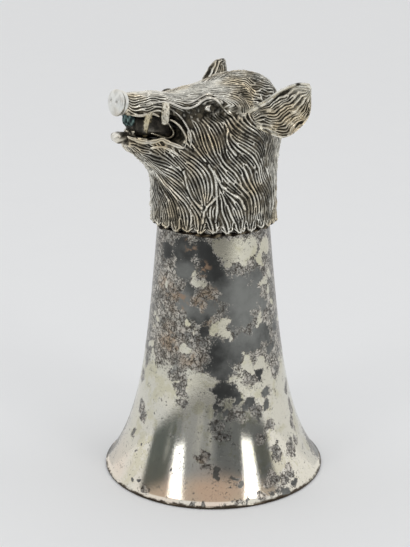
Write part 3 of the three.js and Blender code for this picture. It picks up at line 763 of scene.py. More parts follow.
def hair_way(p, seed):
    """The combed direction at points: the strokes' mean by exp(-(d/reach)^2/2), turned in towards the
    lock's tip near the collar, laid flat on the skin, then turned about the outward direction by waves."""
    y, h = p[:, 1:2], p[:, 2:3]
    far = ((on_near_side(p)[:, None] - stroke_place[None]) ** 2).sum(-1)
    weight = np.exp(-far / (2 * STROKE_REACH**2)) + FAR_WEIGHT * np.exp(-far / (2 * FAR_REACH**2))
    way = unit(weight @ stroke_way)
    way[:, :1] *= np.where(p[:, :1] < 0, -1.0, 1.0)
    azimuth = np.arctan2(p[:, 1], p[:, 0])
    tangent = np.stack([-np.sin(azimuth), np.cos(azimuth), 0 * azimuth], 1)
    low = np.clip(1 - p[:, 2] / LOCK_HEIGHT, 0, 1)
    way = way * (1 - 0.5 * low[:, None]) + [0, 0, -0.5] * low[:, None]
    way = way - tangent * (LOCK_PULL * lock_place(azimuth) * low)[:, None]
    out = outward_of(p)
    way = unit(way - (way * out).sum(-1, keepdims=True) * out)
    calm = np.clip(1.15 - h / 60, 0.3, 1) * (1 - 0.8 * low[:, None])
    crown = rising(h, 34, 5) * rising(y, 3, 4)
    forehead = rising(h, 37, 3) * rising(y, -20, 4)
    snout = rising(-y, 19, 4)
    choppy = np.clip(crown + 0.4 * forehead + 0.7 * snout, 0, 1)
    turn = WAVE_ANGLE * waves(p, WAVE_LENGTH, seed)[:, None] * calm
    turn = turn + CHOPPY_ANGLE * waves(p, CHOPPY_LENGTH, seed + 1)[:, None] * choppy
    return way * np.cos(turn) + np.cross(out, way) * np.sin(turn), out


def traced(start, steps, sign, seed):
    """Places along strands from their starts, [strand, step, xyz], a step at a time."""
    p, places = start, [start]
    for _ in range(steps):
        way, out = hair_way(p, seed)
        p = p + sign * STEP * way
        p = p - head_field(p)[:, None] * out
        places.append(p)
    return np.stack(places, 1)


def strand_starts(count, seed):
    """Random places on the skin above the collar, at even density: a ring's points picked by their area."""
    rng = np.random.default_rng(seed)
    beside, above = np.roll(skin, -1, 1) - skin, np.roll(skin, -1, 0) - skin
    cell = np.linalg.norm(np.cross(beside, above), axis=-1)
    cell[-1] = 0
    pick = rng.choice(cell.size, count, p=(cell / cell.sum()).ravel())
    return onto_skin(skin.reshape(-1, 3)[pick] + rng.normal(0, 0.15, (count, 3)))


starts = strand_starts(STRANDS, STRAND_SEED)
ahead = traced(starts, STEPS_AHEAD, 1, WAVE_SEED)
behind = traced(starts, STEPS_BEHIND, -1, WAVE_SEED)
walks = np.concatenate([behind[:, :0:-1], ahead], 1)
print("traced", walks.shape[0], "strands of up to", round(walks.shape[1] * STEP, 1), "mm")

# %% [markdown]
# ## Choosing the strands
#
# The traced strands overlap, so only some are kept. Each in turn claims the cells of a fine 3-D grid near
# its line. A later strand keeps only the run of it that is still free, and is dropped if that is short.
# Long runs go first, short ones fill the gaps, and where a strand ends against another the two meet in a
# fork, as they do on the real casting.

# %% Keep what is free
CELL = 0.25
CLAIM = 0.57
FINE_CLAIM = 0.5
ROOM = np.array([-30.0, -40.0, -4.0])
ROOM_CELLS = (240, 260, 220)
PASSES = ((50, 90), (30, 70), (17, 50), (9, 34), (5, 20))
SHORT_HALF, SHORT_LEAST = 11, 8
ROOT_CLEAR = 2.2


def hair_allowed(p):
    """True where hair grows: not in the mouth or at the eye, the chin, the ears' roots or the snout. Their
    outlines are seen from the side, in millimetres forwards of the axis and above the collar."""
    x, reach, h = np.abs(p[..., 0]), -p[..., 1], p[..., 2]
    mouth = (reach > 17.5) & (h > 27 + 0.12 * (reach - 17.5)) & (h < 35.6)
    corner = ((reach - 18.5) / 4.4) ** 2 + ((h - 31) / 5.2) ** 2 < 1
    eye = ((reach - 9.6) / 6.4) ** 2 + ((h - 36.2 + 0.12 * (reach - 9.6)) / 2.3) ** 2 < 1
    root = np.linalg.norm(on_near_side(p) - EAR_ROOT, axis=-1) < ROOT_CLEAR
    chin = (reach > 29.0) & (h > 25.5) & (h < 31)
    return ~(mouth | corner | (eye & (x > 9)) | root | chin | (reach > 30.2)) & (h > 0)


def claim_offsets(claim):
    """The cells within a distance of a cell's middle."""
    n = int(claim / CELL) + 1
    grid = np.stack(np.meshgrid(*[np.arange(-n, n + 1)] * 3, indexing="ij"), -1).reshape(-1, 3)
    return grid[np.linalg.norm(grid, axis=1) * CELL <= claim]


def kept_strands(walks, middle):
    """Runs of the walks that keep clear of one another, as a list of arrays of places. Each pass has the
    least and the most steps of a run. They lie closer on the crown and the muzzle, and are short on top."""
    taken = np.zeros(ROOM_CELLS, bool)
    coarse, fine = claim_offsets(CLAIM), claim_offsets(FINE_CLAIM)
    middles = walks[:, middle]
    small = (middles[:, 2] > 35) | (middles[:, 1] < -21)
    short = (middles[:, 2] > 37) & (middles[:, 1] > -19)
    allowed = hair_allowed(walks)
    cells = ((walks - ROOM) / CELL).astype(int)
    rng = np.random.default_rng(3)
    kept, used = [], np.zeros(len(walks), bool)
    for least, most in PASSES:
        for i in rng.permutation(len(walks)):
            if used[i]:
                continue
            c = cells[i]
            free = allowed[i] & ~taken[c[:, 0], c[:, 1], c[:, 2]]
            if not free[middle]:
                continue
            blocked = np.flatnonzero(~free)
            half = min(most // 2, SHORT_HALF) if short[i] else most // 2
            low = max(blocked[blocked < middle].max(initial=-1) + 1, middle - half)
            high = min(blocked[blocked > middle].min(initial=len(free)), middle + half)
            if high - low < (min(least, SHORT_LEAST) if short[i] else least):
                continue
            used[i] = True
            kept.append(walks[i, low:high])
            spread = (c[low:high, None] + (fine if small[i] else coarse)[None]).reshape(-1, 3)
            taken[spread[:, 0], spread[:, 1], spread[:, 2]] = True
    return kept


strands = kept_strands(walks, STEPS_BEHIND)
print(len(strands), "strands kept,", round(sum(len(s) for s in strands) * STEP), "mm of hair")

# %% [markdown]
# ## Pressing the hair into the skin
#
# The carver of the pattern cut grooves, and left sharp hairs standing between them. So the hair is a relief
# in one skin and not a heap of separate threads, and each traced line is the path of the graver. Every
# point of the skin belongs to the line nearest to it. Where the nearest and the second nearest are equally
# far, a hair is left standing. Where a line ends, the hairs on its two sides run together in a fork.

# %% Nearest and second nearest strand
GRID = 0.95
FAR = 3.0
GOLDEN_SHARE = 0.618034


def nearest_two(points, places, along, owner):
    """Distances from points to the nearest strand and to the nearest other one, and both numbers added up.

    The places are sorted by the cell of a coarse grid that they lie in. Only those in the 27 cells round a
    point are compared with it, as one long list of pairs. Each place stands for a short straight piece of
    its strand: the distance along it counts only beyond half a step."""
    low = np.minimum(points.min(0), places.min(0)) - 2 * GRID
    size = ((np.maximum(points.max(0), places.max(0)) - low) / GRID).astype(int) + 3
    strides = np.array([size[1] * size[2], size[2], 1])
    home = ((places - low) / GRID).astype(int) @ strides
    order = np.argsort(home, kind="stable")
    count = np.bincount(home, minlength=size.prod())
    first = np.cumsum(count) - count
    around = np.stack(np.meshgrid(*[[-1, 0, 1]] * 3, indexing="ij"), -1).reshape(-1, 3)
    cell = (((points - low) / GRID).astype(int) @ strides)[:, None] + (around @ strides)[None]
    total = count[cell].sum(1)
    lengths = count[cell].ravel()
    begins = first[cell].ravel() - (np.cumsum(lengths) - lengths)
    pair = order[np.repeat(begins, lengths) + np.arange(lengths.sum())]
    mine = np.repeat(np.arange(len(points)), total)
    away = points[mine] - places[pair]
    straight = (away * along[pair]).sum(1)
    beyond = straight - np.clip(straight, -STEP / 2, STEP / 2)
    distance = np.sqrt(np.maximum((away**2).sum(1) - straight**2, 0) + beyond**2)
    some = np.flatnonzero(total)
    begin = (np.cumsum(total) - total)[some]
    near, second, strand, rival = (np.full(len(points), v) for v in (FAR, FAR, -1, -1))
    near[some] = np.minimum.reduceat(distance, begin)
    best = distance == near[mine]
    strand[mine[best]] = owner[pair[best]]
    other = np.where(owner[pair] == strand[mine], FAR, distance)
    second[some] = np.minimum.reduceat(other, begin)
    best = (other == second[mine]) & (other < FAR)
    rival[mine[best]] = owner[pair[best]]
    return near, np.minimum(second, FAR), strand + rival


def cut_distances(points, lines):
    """Distances from points to the nearest cut and to the nearest other one, for lines of any lengths, and
    a value from 0 to 1 that each hair has to itself: the golden share of its two cuts' numbers."""
    places = np.concatenate(lines)
    along = np.concatenate([unit(np.gradient(line, axis=0)) for line in lines])
    owner = np.repeat(np.arange(len(lines)), [len(line) for line in lines])
    parts = [nearest_two(part, places, along, owner) for part in np.array_split(points.reshape(-1, 3), 6)]
    near, second, pair = (np.concatenate(values).reshape(points.shape[:-1]) for values in zip(*parts))
    return near, second, np.mod(pair * GOLDEN_SHARE, 1.0)


near, second, own = cut_distances(skin, strands)
print("mean distance between cuts", round(float((near + second)[second < 1.5].mean()), 2), "mm")

# %% [markdown]
# A hair's profile is a parabola in the distance to its crest, round on top and sharp at the foot, and each
# hair has a strength of its own. The long ridges of the partings are laid over the hair, and in the eye's
# hollow it fades to bare metal. At the collar the skin ends in locks: the edge rises to a notch between two
# tips. Soot and painted shade lie in patches, each given by a pixel and a radius: the shade behind and
# under the ears, at their roots, under the eye, under the jaw and along the throat's edge is painted. The
# right brow is lowered last of all. Inside, the skin goes on as the hollow that the bell's closed end sits
# in.

# %% Relief and collar
CUT_LEVEL = -0.34
HAIR_HEIGHT = 0.62
HAIR_HALF_WIDTH = 0.44
HAIR_SHARE = 0.34
RIDGE_HALF_WIDTH = 0.33
INSIDE_PROFILE = ((1.0, 11.4), (8.0, 11.4), (15.6, 11.2), (16.9, 9.5), (17.3, 3.0), (17.45, 2.6))
RIDGES = [
    (209, 166, 213, 172, 216, 184, 217, 198, 217, 210, 216, 222), (216, 199, 210, 204, 204, 213, 203, 224),
    (214, 172, 218, 180, 222, 186, 230, 193, 240, 199, 245, 209), (228, 130, 227, 139, 230, 148, 236, 155),
    (184, 172, 187, 186, 192, 198, 201, 208), (180, 117, 187, 126, 189, 139, 196, 150, 205, 161),
]
HOLLOW = {"front": (188, 112, 8), "middle": (199, 114, 9), "eye": (212, 110, 9), "back": (221, 112, 6)}
# Dark patches: partly soot, partly painted shade behind and under the ears, at their roots, under the eye,
# under the jaw and along the throat's edge.
SOOT_AND_SHADE = {
    "under_eye": (203, 112, 12), "eye_back": (220, 108, 8), "mouth_side": (174, 112, 7),
    "ear_gap": (243, 95, 9), "ear_root": (244, 105, 8), "temple": (238, 110, 5), "crown": (258, 84, 7),
    "nape": (270, 150, 18), "nape_low": (268, 190, 15), "nape_foot": (268, 215, 9),
    "cheek_front": (187, 122, 7), "under_ear": (262, 143, 12), "behind_ear": (270, 137, 10),
    "pocket": (196, 184, 7), "fork": (214, 164, 5), "jaw": (158, 159, 11), "throat_edge": (157, 190, 14),
    "throat_low": (157, 212, 10),
}


def lock_edge(azimuth):
    """Height of the collar's edge: near 0 at a lock's tip, about LOCK_DROP in the notch, as |2u|^1.5, and
    each lock is a little longer or shorter than the next."""
    rng = np.random.default_rng(12)
    own = rng.uniform(-0.3, 0.3, LOCKS)
    which = np.floor(np.mod(azimuth * LOCKS / (2 * np.pi), LOCKS)).astype(int) % LOCKS
    across = np.abs(2 * lock_place(azimuth))
    return np.clip(LOCK_DROP * across**1.5 + (own[which] + 0.3) * (1 - across**2), 0, None)


def hair_profile(near, second, own):
    """1 - (distance to the crest / half width)^2, and nothing where there is no cut near. The crest is
    where both cuts are equally far. A hair between two close cuts is thinner, and each has its strength."""
    half_width = np.clip(HAIR_SHARE * (near + second), 0.12, HAIR_HALF_WIDTH)
    to_crest = (second - near) / 2
    strength = 0.62 + 0.48 * own
    return strength * np.clip(1 - (to_crest / half_width) ** 2, 0, 1) * rising(-near, -1.6, 0.7)


def with_ridges(hair):
    """The hair with the partings' long ridges, each a parabola with a dark channel on both sides."""
    pixels = [np.array(line, float).reshape(-1, 2) for line in RIDGES]
    far = cut_distances(skin, [onto_skin(smooth_path(pixels_on_head(line), 60)) for line in pixels])[0]
    far = np.where(skin[..., 0] > 0, far, FAR)
    channel = falloff(far - 0.6, 0.2)
    ridge = np.clip(1 - (far / RIDGE_HALF_WIDTH) ** 2, 0, 1)
    return np.maximum(hair * (1 - 0.7 * channel), 1.05 * ridge)


def pressed_skin():
    """The skin with its relief: cut level plus the hair's height times its profile, less a notch between
    two locks, and bent in at the collar's edge. The hair is low on the forehead."""
    y, h = skin[..., 1], skin[..., 2]
    forehead = rising(h, 36, 3) * rising(-y, -4, 4) * rising(y, -22, 4)
    hollow = blotch_value(on_near_side(skin), HOLLOW, pixels_on_head)
    smooth = np.clip(1.1 * hollow + 0.3 * waves(skin, 1.6, 33) - 0.1, 0, 1)
    hair = with_ridges(hair_profile(near, second, own))
    hair = hair * (0.88 + 0.16 * waves(skin, 3.2, 91)) * (1 - 0.9 * smooth)
    lift = HAIR_HEIGHT * (1 - 0.55 * forehead) * hair * (0.85 + 0.22 * waves(skin, 4.0, 37))
    azimuth = np.arctan2(y, skin[..., 0])
    collar = np.clip(1 - h / 6, 0, 1)
    notch = falloff(0.5 - np.abs(lock_place(azimuth)), 0.07) * collar**2
    edge = np.clip(1 - h / 0.5, 0, 1)
    outline = falloff(h - 0.75, 0.3) * (1 - notch)
    level = CUT_LEVEL + lift * (1 - 0.8 * notch) - 0.35 * notch - 0.45 * edge**2 + 0.2 * outline
    pressed = skin + skin_out * level[..., None]
    pressed[..., 2] += lock_edge(azimuth) * collar - far_brow_drop(skin)
    bare = rising(near, 1.1, 0.8)
    snout = rising(-y, 20, 4) * rising(h, 33, 3)
    mottled = np.clip(0.2 + 0.22 * waves(skin, 1.1, 35), 0, 1)
    base = np.maximum(0.25 * forehead + 0.3 * bare + 0.24 * snout, mottled * smooth)
    shine = hair * (1 - 0.9 * notch) * (1 - 0.6 * edge) * (1 - 0.25 * forehead) + base
    return pressed, np.maximum(shine, 0.85 * outline)


pressed, shine = pressed_skin()
# Soot and painted shade, at most 0.7, the same on both sides of the head.
soot = 0.7 * blotch_value(on_near_side(pressed), SOOT_AND_SHADE, pixels_on_head)
ring = np.stack([np.cos(angles), np.sin(angles)], -1)
inner = np.stack([np.concatenate([ring * r, np.full((ANGLES, 1), h)], 1) for r, h in INSIDE_PROFILE])
head_rings = np.concatenate([inner, pressed])
head_rings[..., 2] += COLLAR
head_shine, head_soot_and_shade = (np.concatenate([np.zeros(inner.shape[:2]), value]) for value in (shine, soot))
relief = head_field(pressed)
print("relief from", round(float(relief.min()), 2), "to", round(float(relief.max()), 2), "mm")

# %% [markdown]
# ## The open mouth
#
# The mouth is drawn from the side, round at its corner, and cut straight across the muzzle with a Boolean.
# The cutter is a solid in its own right and is thrown away afterwards. The head goes into three meshes,
# neck, skull and muzzle, which meet ring on ring, because one mesh would be too heavy. Their closed ends
# lie inside the metal, flat shaded, so that they don't bend the light on the skin round them.

# %% Cut the mouth
def mouth_outline():
    """The mouth's edge in [reach, height]: two quadratic curves along the jaw, one cubic up the corner."""
    def at(reach, height):
        return (MOUTH_CORNER + reach * MOUTH_OPENING, LIP_LINE + height * MOUTH_OPENING)

    front = (SNOUT_REACH - MOUTH_CORNER) / MOUTH_OPENING
    floor = bezier(at(0.54, -0.16), at(1.08, 0.03), at(front - 0.14, 0.2), 20)
    lip = bezier(at(front - 0.14, 0.2), at(front, 0.26), at(front + 0.05, 0.46), 6)[1:]
    beyond = np.array([at(front + 0.54, 0.49), at(front + 0.54, 1), at(0.68, 1)])
    a, b, c, d = (np.array(p) for p in (at(0.68, 1), at(0.14, 1), at(-0.11, 0.59), at(0.05, 0.22)))
    t = np.linspace(0, 1, 16)[1:, None]
    corner = (1 - t) ** 3 * a + 3 * t * (1 - t) ** 2 * b + 3 * t**2 * (1 - t) * c + t**3 * d
    heel = bezier(at(0.05, 0.22), at(0.19, -0.14), at(0.54, -0.16), 8)[1:-1]
    return np.concatenate([floor, lip, beyond, corner, heel])


def cut_by(piece, cutter):
    """Takes the cutter's solid out of a piece for good."""
    cut = piece.modifiers.new("mouth", "BOOLEAN")
    cut.operation, cut.object, cut.solver = "DIFFERENCE", cutter, "MANIFOLD"
    bpy.context.view_layer.update()
    mesh = bpy.data.meshes.new_from_object(piece.evaluated_get(bpy.context.evaluated_depsgraph_get()))
    piece.modifiers.clear()
    piece.data = mesh


edge = mouth_outline()
across = np.array([-20.0, 20.0])
cutter_sides = [np.stack([np.full(len(edge), x), -edge[:, 0], edge[:, 1] + COLLAR], 1) for x in across]
cutter = skin_object("mouth_cutter", np.stack(cutter_sides)[None])
SKULL_FIRST, MUZZLE_FIRST = 147, 287
PARTS = (
    ("neck_casting", 0, SKULL_FIRST + 1, ["head_casting"]),
    ("skull_casting", SKULL_FIRST, MUZZLE_FIRST + 1, []),
    ("muzzle_casting", MUZZLE_FIRST, len(head_rings), []),
)
for name, first, last, nodes in PARTS:
    rings, crest, darkened = (values[None, first:last] for values in (head_rings, head_shine, head_soot_and_shade))
    part = skin_object(name, rings, crest=crest, soot=darkened)
    rounded = np.ones(len(part.data.polygons), bool)
    rounded[-2 * ANGLES:] = False
    part.data.polygons.foreach_set("use_smooth", rounded)
    if name != "neck_casting":
        cut_by(part, cutter)
    finish_piece(part, hair_metal, "antique_casting", *nodes)
bpy.data.objects.remove(cutter)

# %% [markdown]
# ## Lips, brow and gums
#
# Smooth rounded beads edge the brow, the lips and the gum inside the mouth. Each is a line read off the
# photograph as pixels, set on the head by rays, and a small oval carried along it. The far side is the
# near one mirrored.

# %% Beads
BEAD_SIDES = 12
BEAD_SINK = 0.1
BROW_RIDGE = [
    (146, 104.5), (152, 103), (160, 102.3), (168, 102.8), (176, 105.5), (183, 108), (190, 108), (197, 105),
    (203, 100.5), (208, 98.3), (214, 99), (219, 102.5), (224, 109), (229, 114), (233, 116.5),
]
BROW_FOLD = [(184, 103.5), (191, 102.5), (197, 99.5), (203, 96), (210, 94.5), (216, 96.5)]
LOWER_LIP = [
    (127, 136.5), (133, 139), (140, 141.5), (148, 142.3), (156, 141.3), (162, 139.5), (167, 142),
    (174, 144.8), (184, 148.5),
]
LIP_FOLD = [(150, 148.5), (156, 147.3), (162, 147), (168, 149), (173, 152), (178, 156)]
MOUTH_CORNER_LIP = [
    (169.5, 119.5), (174, 121.5), (179, 125.5), (183, 131), (186, 137.5), (186, 143), (184.5, 147.5),
]
CHEEK_FOLD = [(175, 112), (181, 117.5), (186, 125), (190, 133), (191, 141), (190, 148)]
UPPER_LIP = [(131.2, 115.2), (141.2, 115.8), (152.5, 114.0), (160.0, 116.9)]
INNER_GUM = [
    (167, 121), (170.4, 126.5), (173.2, 131), (173.5, 134.5), (171, 137.2), (166, 138), (158, 135.5),
    (151, 133),
]


def both_sides(rings):
    """The rings and their mirror image in the plane x = 0, with its rings turned round to face outwards."""
    return np.concatenate([rings, (rings * [-1, 1, 1])[:, :, ::-1]])


def bead(name, places, half_width, height, material, normals=None):
    """An oval bead along places on the head, thinning to a quarter at its ends, on both sides."""
    path = places[None]
    normals = outward_of(path) if normals is None else np.broadcast_to(normals, path.shape)
    t = np.linspace(0, 1, path.shape[1])[None]
    taper = 0.25 + 0.75 * np.sqrt(np.clip(np.sin(np.pi * t) * 1.6, 0, 1))
    size = taper * (1 + 0.12 * waves(path[0], 2.4, 5)[None])
    rings = both_sides(carried(path, normals, half_width * size, height * size, BEAD_SIDES, BEAD_SINK))
    rings[..., 2] += COLLAR - far_brow_drop(rings)
    crest = np.broadcast_to(np.clip(np.sin(circle_steps(BEAD_SIDES)), 0, 1) * 0.7 + 0.3, rings.shape[:3])
    cast_piece(name, rings, crest, material, "antique_casting")


# Each bead has its line, how many points, the field's level there, half its width, its height and metal.
BEADS = {
    "brow_ridge": (BROW_RIDGE, 140, 0.1, 0.34, 0.4, lip_metal),
    "brow_fold": (BROW_FOLD, 90, 0.0, 0.24, 0.3, lip_metal),
    "lower_lip": (LOWER_LIP, 90, 0.0, 0.7, 0.62, lip_metal),
    "lip_fold": (LIP_FOLD, 60, 0.0, 0.42, 0.45, hair_metal),
    "mouth_corner": (MOUTH_CORNER_LIP, 70, -0.05, 0.34, 0.45, lip_metal),
    "cheek_fold": (CHEEK_FOLD, 70, -0.05, 0.28, 0.38, lip_metal),
    "upper_lip": (UPPER_LIP, 40, 0.0, 0.42, 0.45, lip_metal),
}
for name, (line, count, level, half_width, height, metal) in BEADS.items():
    bead(name, onto_skin(smooth_path(pixels_on_head(line), count), level), half_width, height, metal)
gum_line = smooth_path(pixels_on_side(INNER_GUM, 5.2), 60)
bead("inner_gum", gum_line, 0.36, 0.4, lip_metal, normals=np.array([1.0, 0, 0]))

# %% [markdown]
# Inside the mouth a dark web fills the space between the gums, so that the mouth is not a tunnel. Its
# outline is the gum's own line, closed along the palate, and its faces are a little rounded.

# %% Web and tongue
TONGUE_BACK = 17.8
TONGUE_LENGTH = 9.8
TONGUE_HALF_WIDTH = 3.6


def slab(name, outline, half_width, material, slot):
    """A rounded slab across the middle plane from an outline in [reach, height]: rings at several x, the
    outer ones drawn in towards the outline's middle by 1 - sqrt(1 - x^2)."""
    share = np.sin(np.linspace(-np.pi / 2, np.pi / 2, 15))
    middle = outline.mean(0)
    draw = 0.72 + 0.28 * np.sqrt(np.clip(1 - share**2, 0, 1))
    flat = middle + (outline - middle)[None] * draw[:, None, None]
    x = np.broadcast_to(share[:, None] * half_width, flat.shape[:2])
    rings = np.stack([x, -flat[..., 0], flat[..., 1] + COLLAR], -1)[None]
    crest = np.full(rings.shape[:3], 0.45) + 0.25 * waves(rings, 2.2, 21)
    cast_piece(name, rings, crest, material, slot)


web_front = np.array([(27.5, 29.4), (28.4, 31.4), (27.5, 34.6), (24.0, 36.0), (20.0, 36.0)])
gum_reach = np.stack([-gum_line[:, 1], gum_line[:, 2]], 1)
slab("mouth_web", np.concatenate([gum_reach, web_front]), 5.0, dark_metal, "dark_casting")


def tongue_rings():
    """Ovals along the tongue. The top is a shallow valley that rises to the tip, and the sides taper."""
    t = np.linspace(0, 1, 40)[:, None]
    a = circle_steps(40)[None]
    reach = TONGUE_BACK + TONGUE_LENGTH * t
    bulge = np.sqrt(np.clip(1 - (t - 0.35) ** 2 / 0.5, 0.02, 1))
    half = TONGUE_HALF_WIDTH * bulge * np.sqrt(np.clip((1 - t) * 9, 0.03, 1))
    rise = (1.5 + 0.4 * t) * np.sqrt(np.clip((1 - t) * 12, 0.05, 1))
    x = half * np.cos(a)
    groove = -0.5 * falloff(x, 0.7) * (np.sin(a) > 0)
    h = LIP_LINE + 1.0 + 1.2 * t + rise * np.sin(a) + groove
    return np.stack([x, -reach + 0 * a, h + COLLAR], -1)[None]


tongue = tongue_rings()
tongue_crest = 0.5 + 0.2 * waves(tongue, 2.0, 3)
cast_piece("tongue_cast", tongue, tongue_crest, dark_metal, "dark_casting", "tongue")

# %% [markdown]
# ## The chin
#
# The tip of the lower jaw is a smooth bead, rubbed bright by every hand that took the cup. It is a ball
# stretched to three radii and pressed a little flat on top.

# %% Chin
CHIN_RADII = np.array([3.3, 2.0, 1.65])
CHIN_AT = np.array([0, -SNOUT_REACH - 0.1, CHIN + 1.95 + COLLAR])


def ball_grid(rows, columns):
    """Unit directions on rings from the -z pole to the +z pole."""
    latitude = np.linspace(-np.pi / 2, np.pi / 2, rows + 2)[1:-1, None]
    longitude = circle_steps(columns)[None]
    level, rise = np.cos(latitude), np.sin(latitude)
    return np.stack([level * np.cos(longitude), level * np.sin(longitude), rise + 0 * longitude], -1)


chin_ball = ball_grid(40, 60)
chin = np.sign(chin_ball) * np.abs(chin_ball) ** 0.85 * CHIN_RADII + CHIN_AT
chin += chin_ball * 0.12 * waves(chin, 2.5, 7)[..., None]
rubbed = np.clip(0.4 + 0.25 * (-SNOUT_REACH - 0.6 - chin[..., 1]), 0.1, 1) + 0.15 * waves(chin, 1.6, 9)
cast_piece("chin_bead", chin[None], rubbed[None], lip_metal, "polished_casting")

# %% [markdown]
# ## The snout
#
# The snout is a thick oval button with a stepped groove behind its face and two small nostrils. It is a
# turned profile, squeezed a little in height, and the nostrils are two bell-shaped dips pressed into it.

# %% Snout disc
DISC_WIDTH, DISC_HEIGHT = 9.2, 7.7
DISC_TILT = math.radians(6.5)
DISC_GROOVE = 3.9
NOSTRIL_X, NOSTRIL_Y, NOSTRIL_RADIUS = 1.75, 0.5, 0.45
DISC_PROFILE = [
    (0.9, -1.7), (3.7, -1.6), (4.1, -1.35), (4.25, -0.9), (4.15, -0.5), (3.9, -0.38), (3.88, -0.22),
    (4.3, -0.1), (4.58, 0.3), (4.55, 0.75), (4.2, 1.12), (3.6, 1.26), (2.6, 1.32), (1.4, 1.36),
    (0.25, 1.38),
]


def placed_points(points, at, looking):
    """Points of a piece made about +z, set down at a place with +z along a direction and +x kept level."""
    up_axis = unit(np.array(looking, float))
    level = unit(np.cross([0, 0, 1.0], up_axis))
    rise = np.cross(up_axis, level)
    return points @ np.stack([level, rise, up_axis]) + np.array(at, float)


def turned_rings(profile, sides, squeeze=1.0):
    """A profile of [radius, height] turned about +z."""
    a = circle_steps(sides)[None]
    r, z = profile[:, :1], profile[:, 1:2]
    return np.stack([r * np.cos(a), squeeze * r * np.sin(a), z + 0 * a], -1)


disc = turned_rings(smooth_path(DISC_PROFILE, 90), 96, DISC_HEIGHT / DISC_WIDTH)
disc_x, disc_y = disc[..., 0], disc[..., 1]
from_nostrils = [np.hypot(disc_x - x, (disc_y - NOSTRIL_Y) * 0.8) for x in (-NOSTRIL_X, NOSTRIL_X)]
for far in from_nostrils:
    dip = 0.9 * falloff(far, NOSTRIL_RADIUS, 4) - 0.1 * falloff(far - 0.85, 0.35)
    disc[..., 2] -= np.where(disc[..., 2] > 0.6, dip, 0)
disc[..., 2] += 0.035 * waves(disc, 2.2, 13)
from_axis = np.hypot(disc_x, disc_y * DISC_WIDTH / DISC_HEIGHT)
groove = falloff(from_axis - DISC_GROOVE, 0.25) * (disc[..., 2] < 0.1)
nostril = sum(falloff(far, NOSTRIL_RADIUS, 4) for far in from_nostrils)
disc_at = (0, -SNOUT_REACH - 0.4, COLLAR + BRIDGE - DISC_HEIGHT / 2 + 1.2)
disc = placed_points(disc, disc_at, (0, -math.cos(DISC_TILT), math.sin(DISC_TILT)))
disc_crest = np.clip(0.95 - 0.9 * groove - 1.5 * nostril * (disc[..., 1] < -30), -0.5, 1)
cast_piece("snout_button", disc[None], disc_crest[None], pale_metal, "polished_casting", "snout_disc")

# %% [markdown]
# ## Eyes
#
# Each eye is a small ball in a black hollow under the brow, dark with patina and with painted shade. Its
# rear half is drilled out as the pupil, so that only a bright crescent looks forward. A thin ring edges the
# hole.

# %% Eyes
EYE = np.array([12.1, -8.4, BRIDGE - 4.2])
EYE_LOOKS = unit(np.array([0.8, -0.42, 0.1]))
PUPIL = unit(np.array([0.74, -0.1, 0.66]))
EYE_RADIUS = 1.65


def eye_rings():
    """A ball about the eye's centre. The pupil dips into it by a bell curve of the angle to its middle,
    and its ring stands up by a narrower one."""
    ball = ball_grid(64, 64)
    away = np.arccos(np.clip(ball @ PUPIL, -1, 1))
    pupil = falloff(away, 0.72, 4)
    edge = falloff(away - 0.86, 0.09)
    radius = EYE_RADIUS * (1 - 0.35 * pupil + 0.04 * edge)
    crest = np.clip(0.95 - pupil - 0.8 * (away < 0.8) + 0.2 * edge, 0, 1)
    crest = crest * np.clip((0.45 - ball[..., 0]) / 0.4, 0.08, 1)
    return placed_points(ball * radius[..., None] * [1, 0.78, 0.8], EYE, EYE_LOOKS)[None], crest[None]


eyes, eye_crest = eye_rings()
eyes = both_sides(eyes)
eyes[..., 2] += COLLAR - far_brow_drop(eyes)
eye_crest = np.concatenate([eye_crest, eye_crest[:, :, ::-1]])
cast_piece("eye_balls", eyes, eye_crest, lip_metal, "dark_casting", "eye_left", "eye_right")

# %% [markdown]
# ## Tusks and teeth
#
# The upper tusks are thick, blunt and rough, the lower ones slender and pointed. Both follow a quadratic
# curve, with a round section that is thinned towards the tip and roughened along its length. The incisors
# are two rows of small rounded blocks. The upper row has gone green with corrosion.

# %% Tusks
TUSK_RINGS, TUSK_SIDES = 60, 28


def side_place(pixel, x):
    """The place in the upright plane at x that a pixel shows."""
    return pixels_on_side(np.array([pixel], float), x)[0]


def tusk(name, curve, radii, rough, groove, nodes):
    """An oval section along a curve, its radius read off a few values along it, with random lumps and
    shallow lengthwise grooves."""
    path = bezier(*curve, TUSK_RINGS)
    t = np.linspace(0, 1, TUSK_RINGS)[:, None]
    a = circle_steps(TUSK_SIDES)[None]
    along = unit(np.gradient(path, axis=0))
    side = unit(np.cross(along, [0, -1, 0.2]))
    up = np.cross(side, along)
    round_end = np.sqrt(np.clip(1 - rising(t, 0.93, 0.07) ** 2, 0.02, 1))
    size = np.interp(t, np.linspace(0, 1, len(radii)), radii) * round_end
    circle = side[:, None] * np.cos(a)[..., None] + up[:, None] * np.sin(a)[..., None]
    ring = path[:, None] + circle * size[..., None]
    lumps = rough * waves(ring, 1.1, 31) + groove * np.cos(5 * a + 1.5 * np.sin(6 * t))
    ring += (ring - path[:, None]) / np.maximum(size[..., None], 0.05) * lumps[..., None]
    rings = both_sides(ring[None]) + [0, 0, COLLAR]
    crest = np.clip(0.85 + 2.2 * lumps, 0.1, 1)
    cast_piece(name, rings, np.stack([crest, crest[:, ::-1]]), tusk_metal, "polished_casting", *nodes)


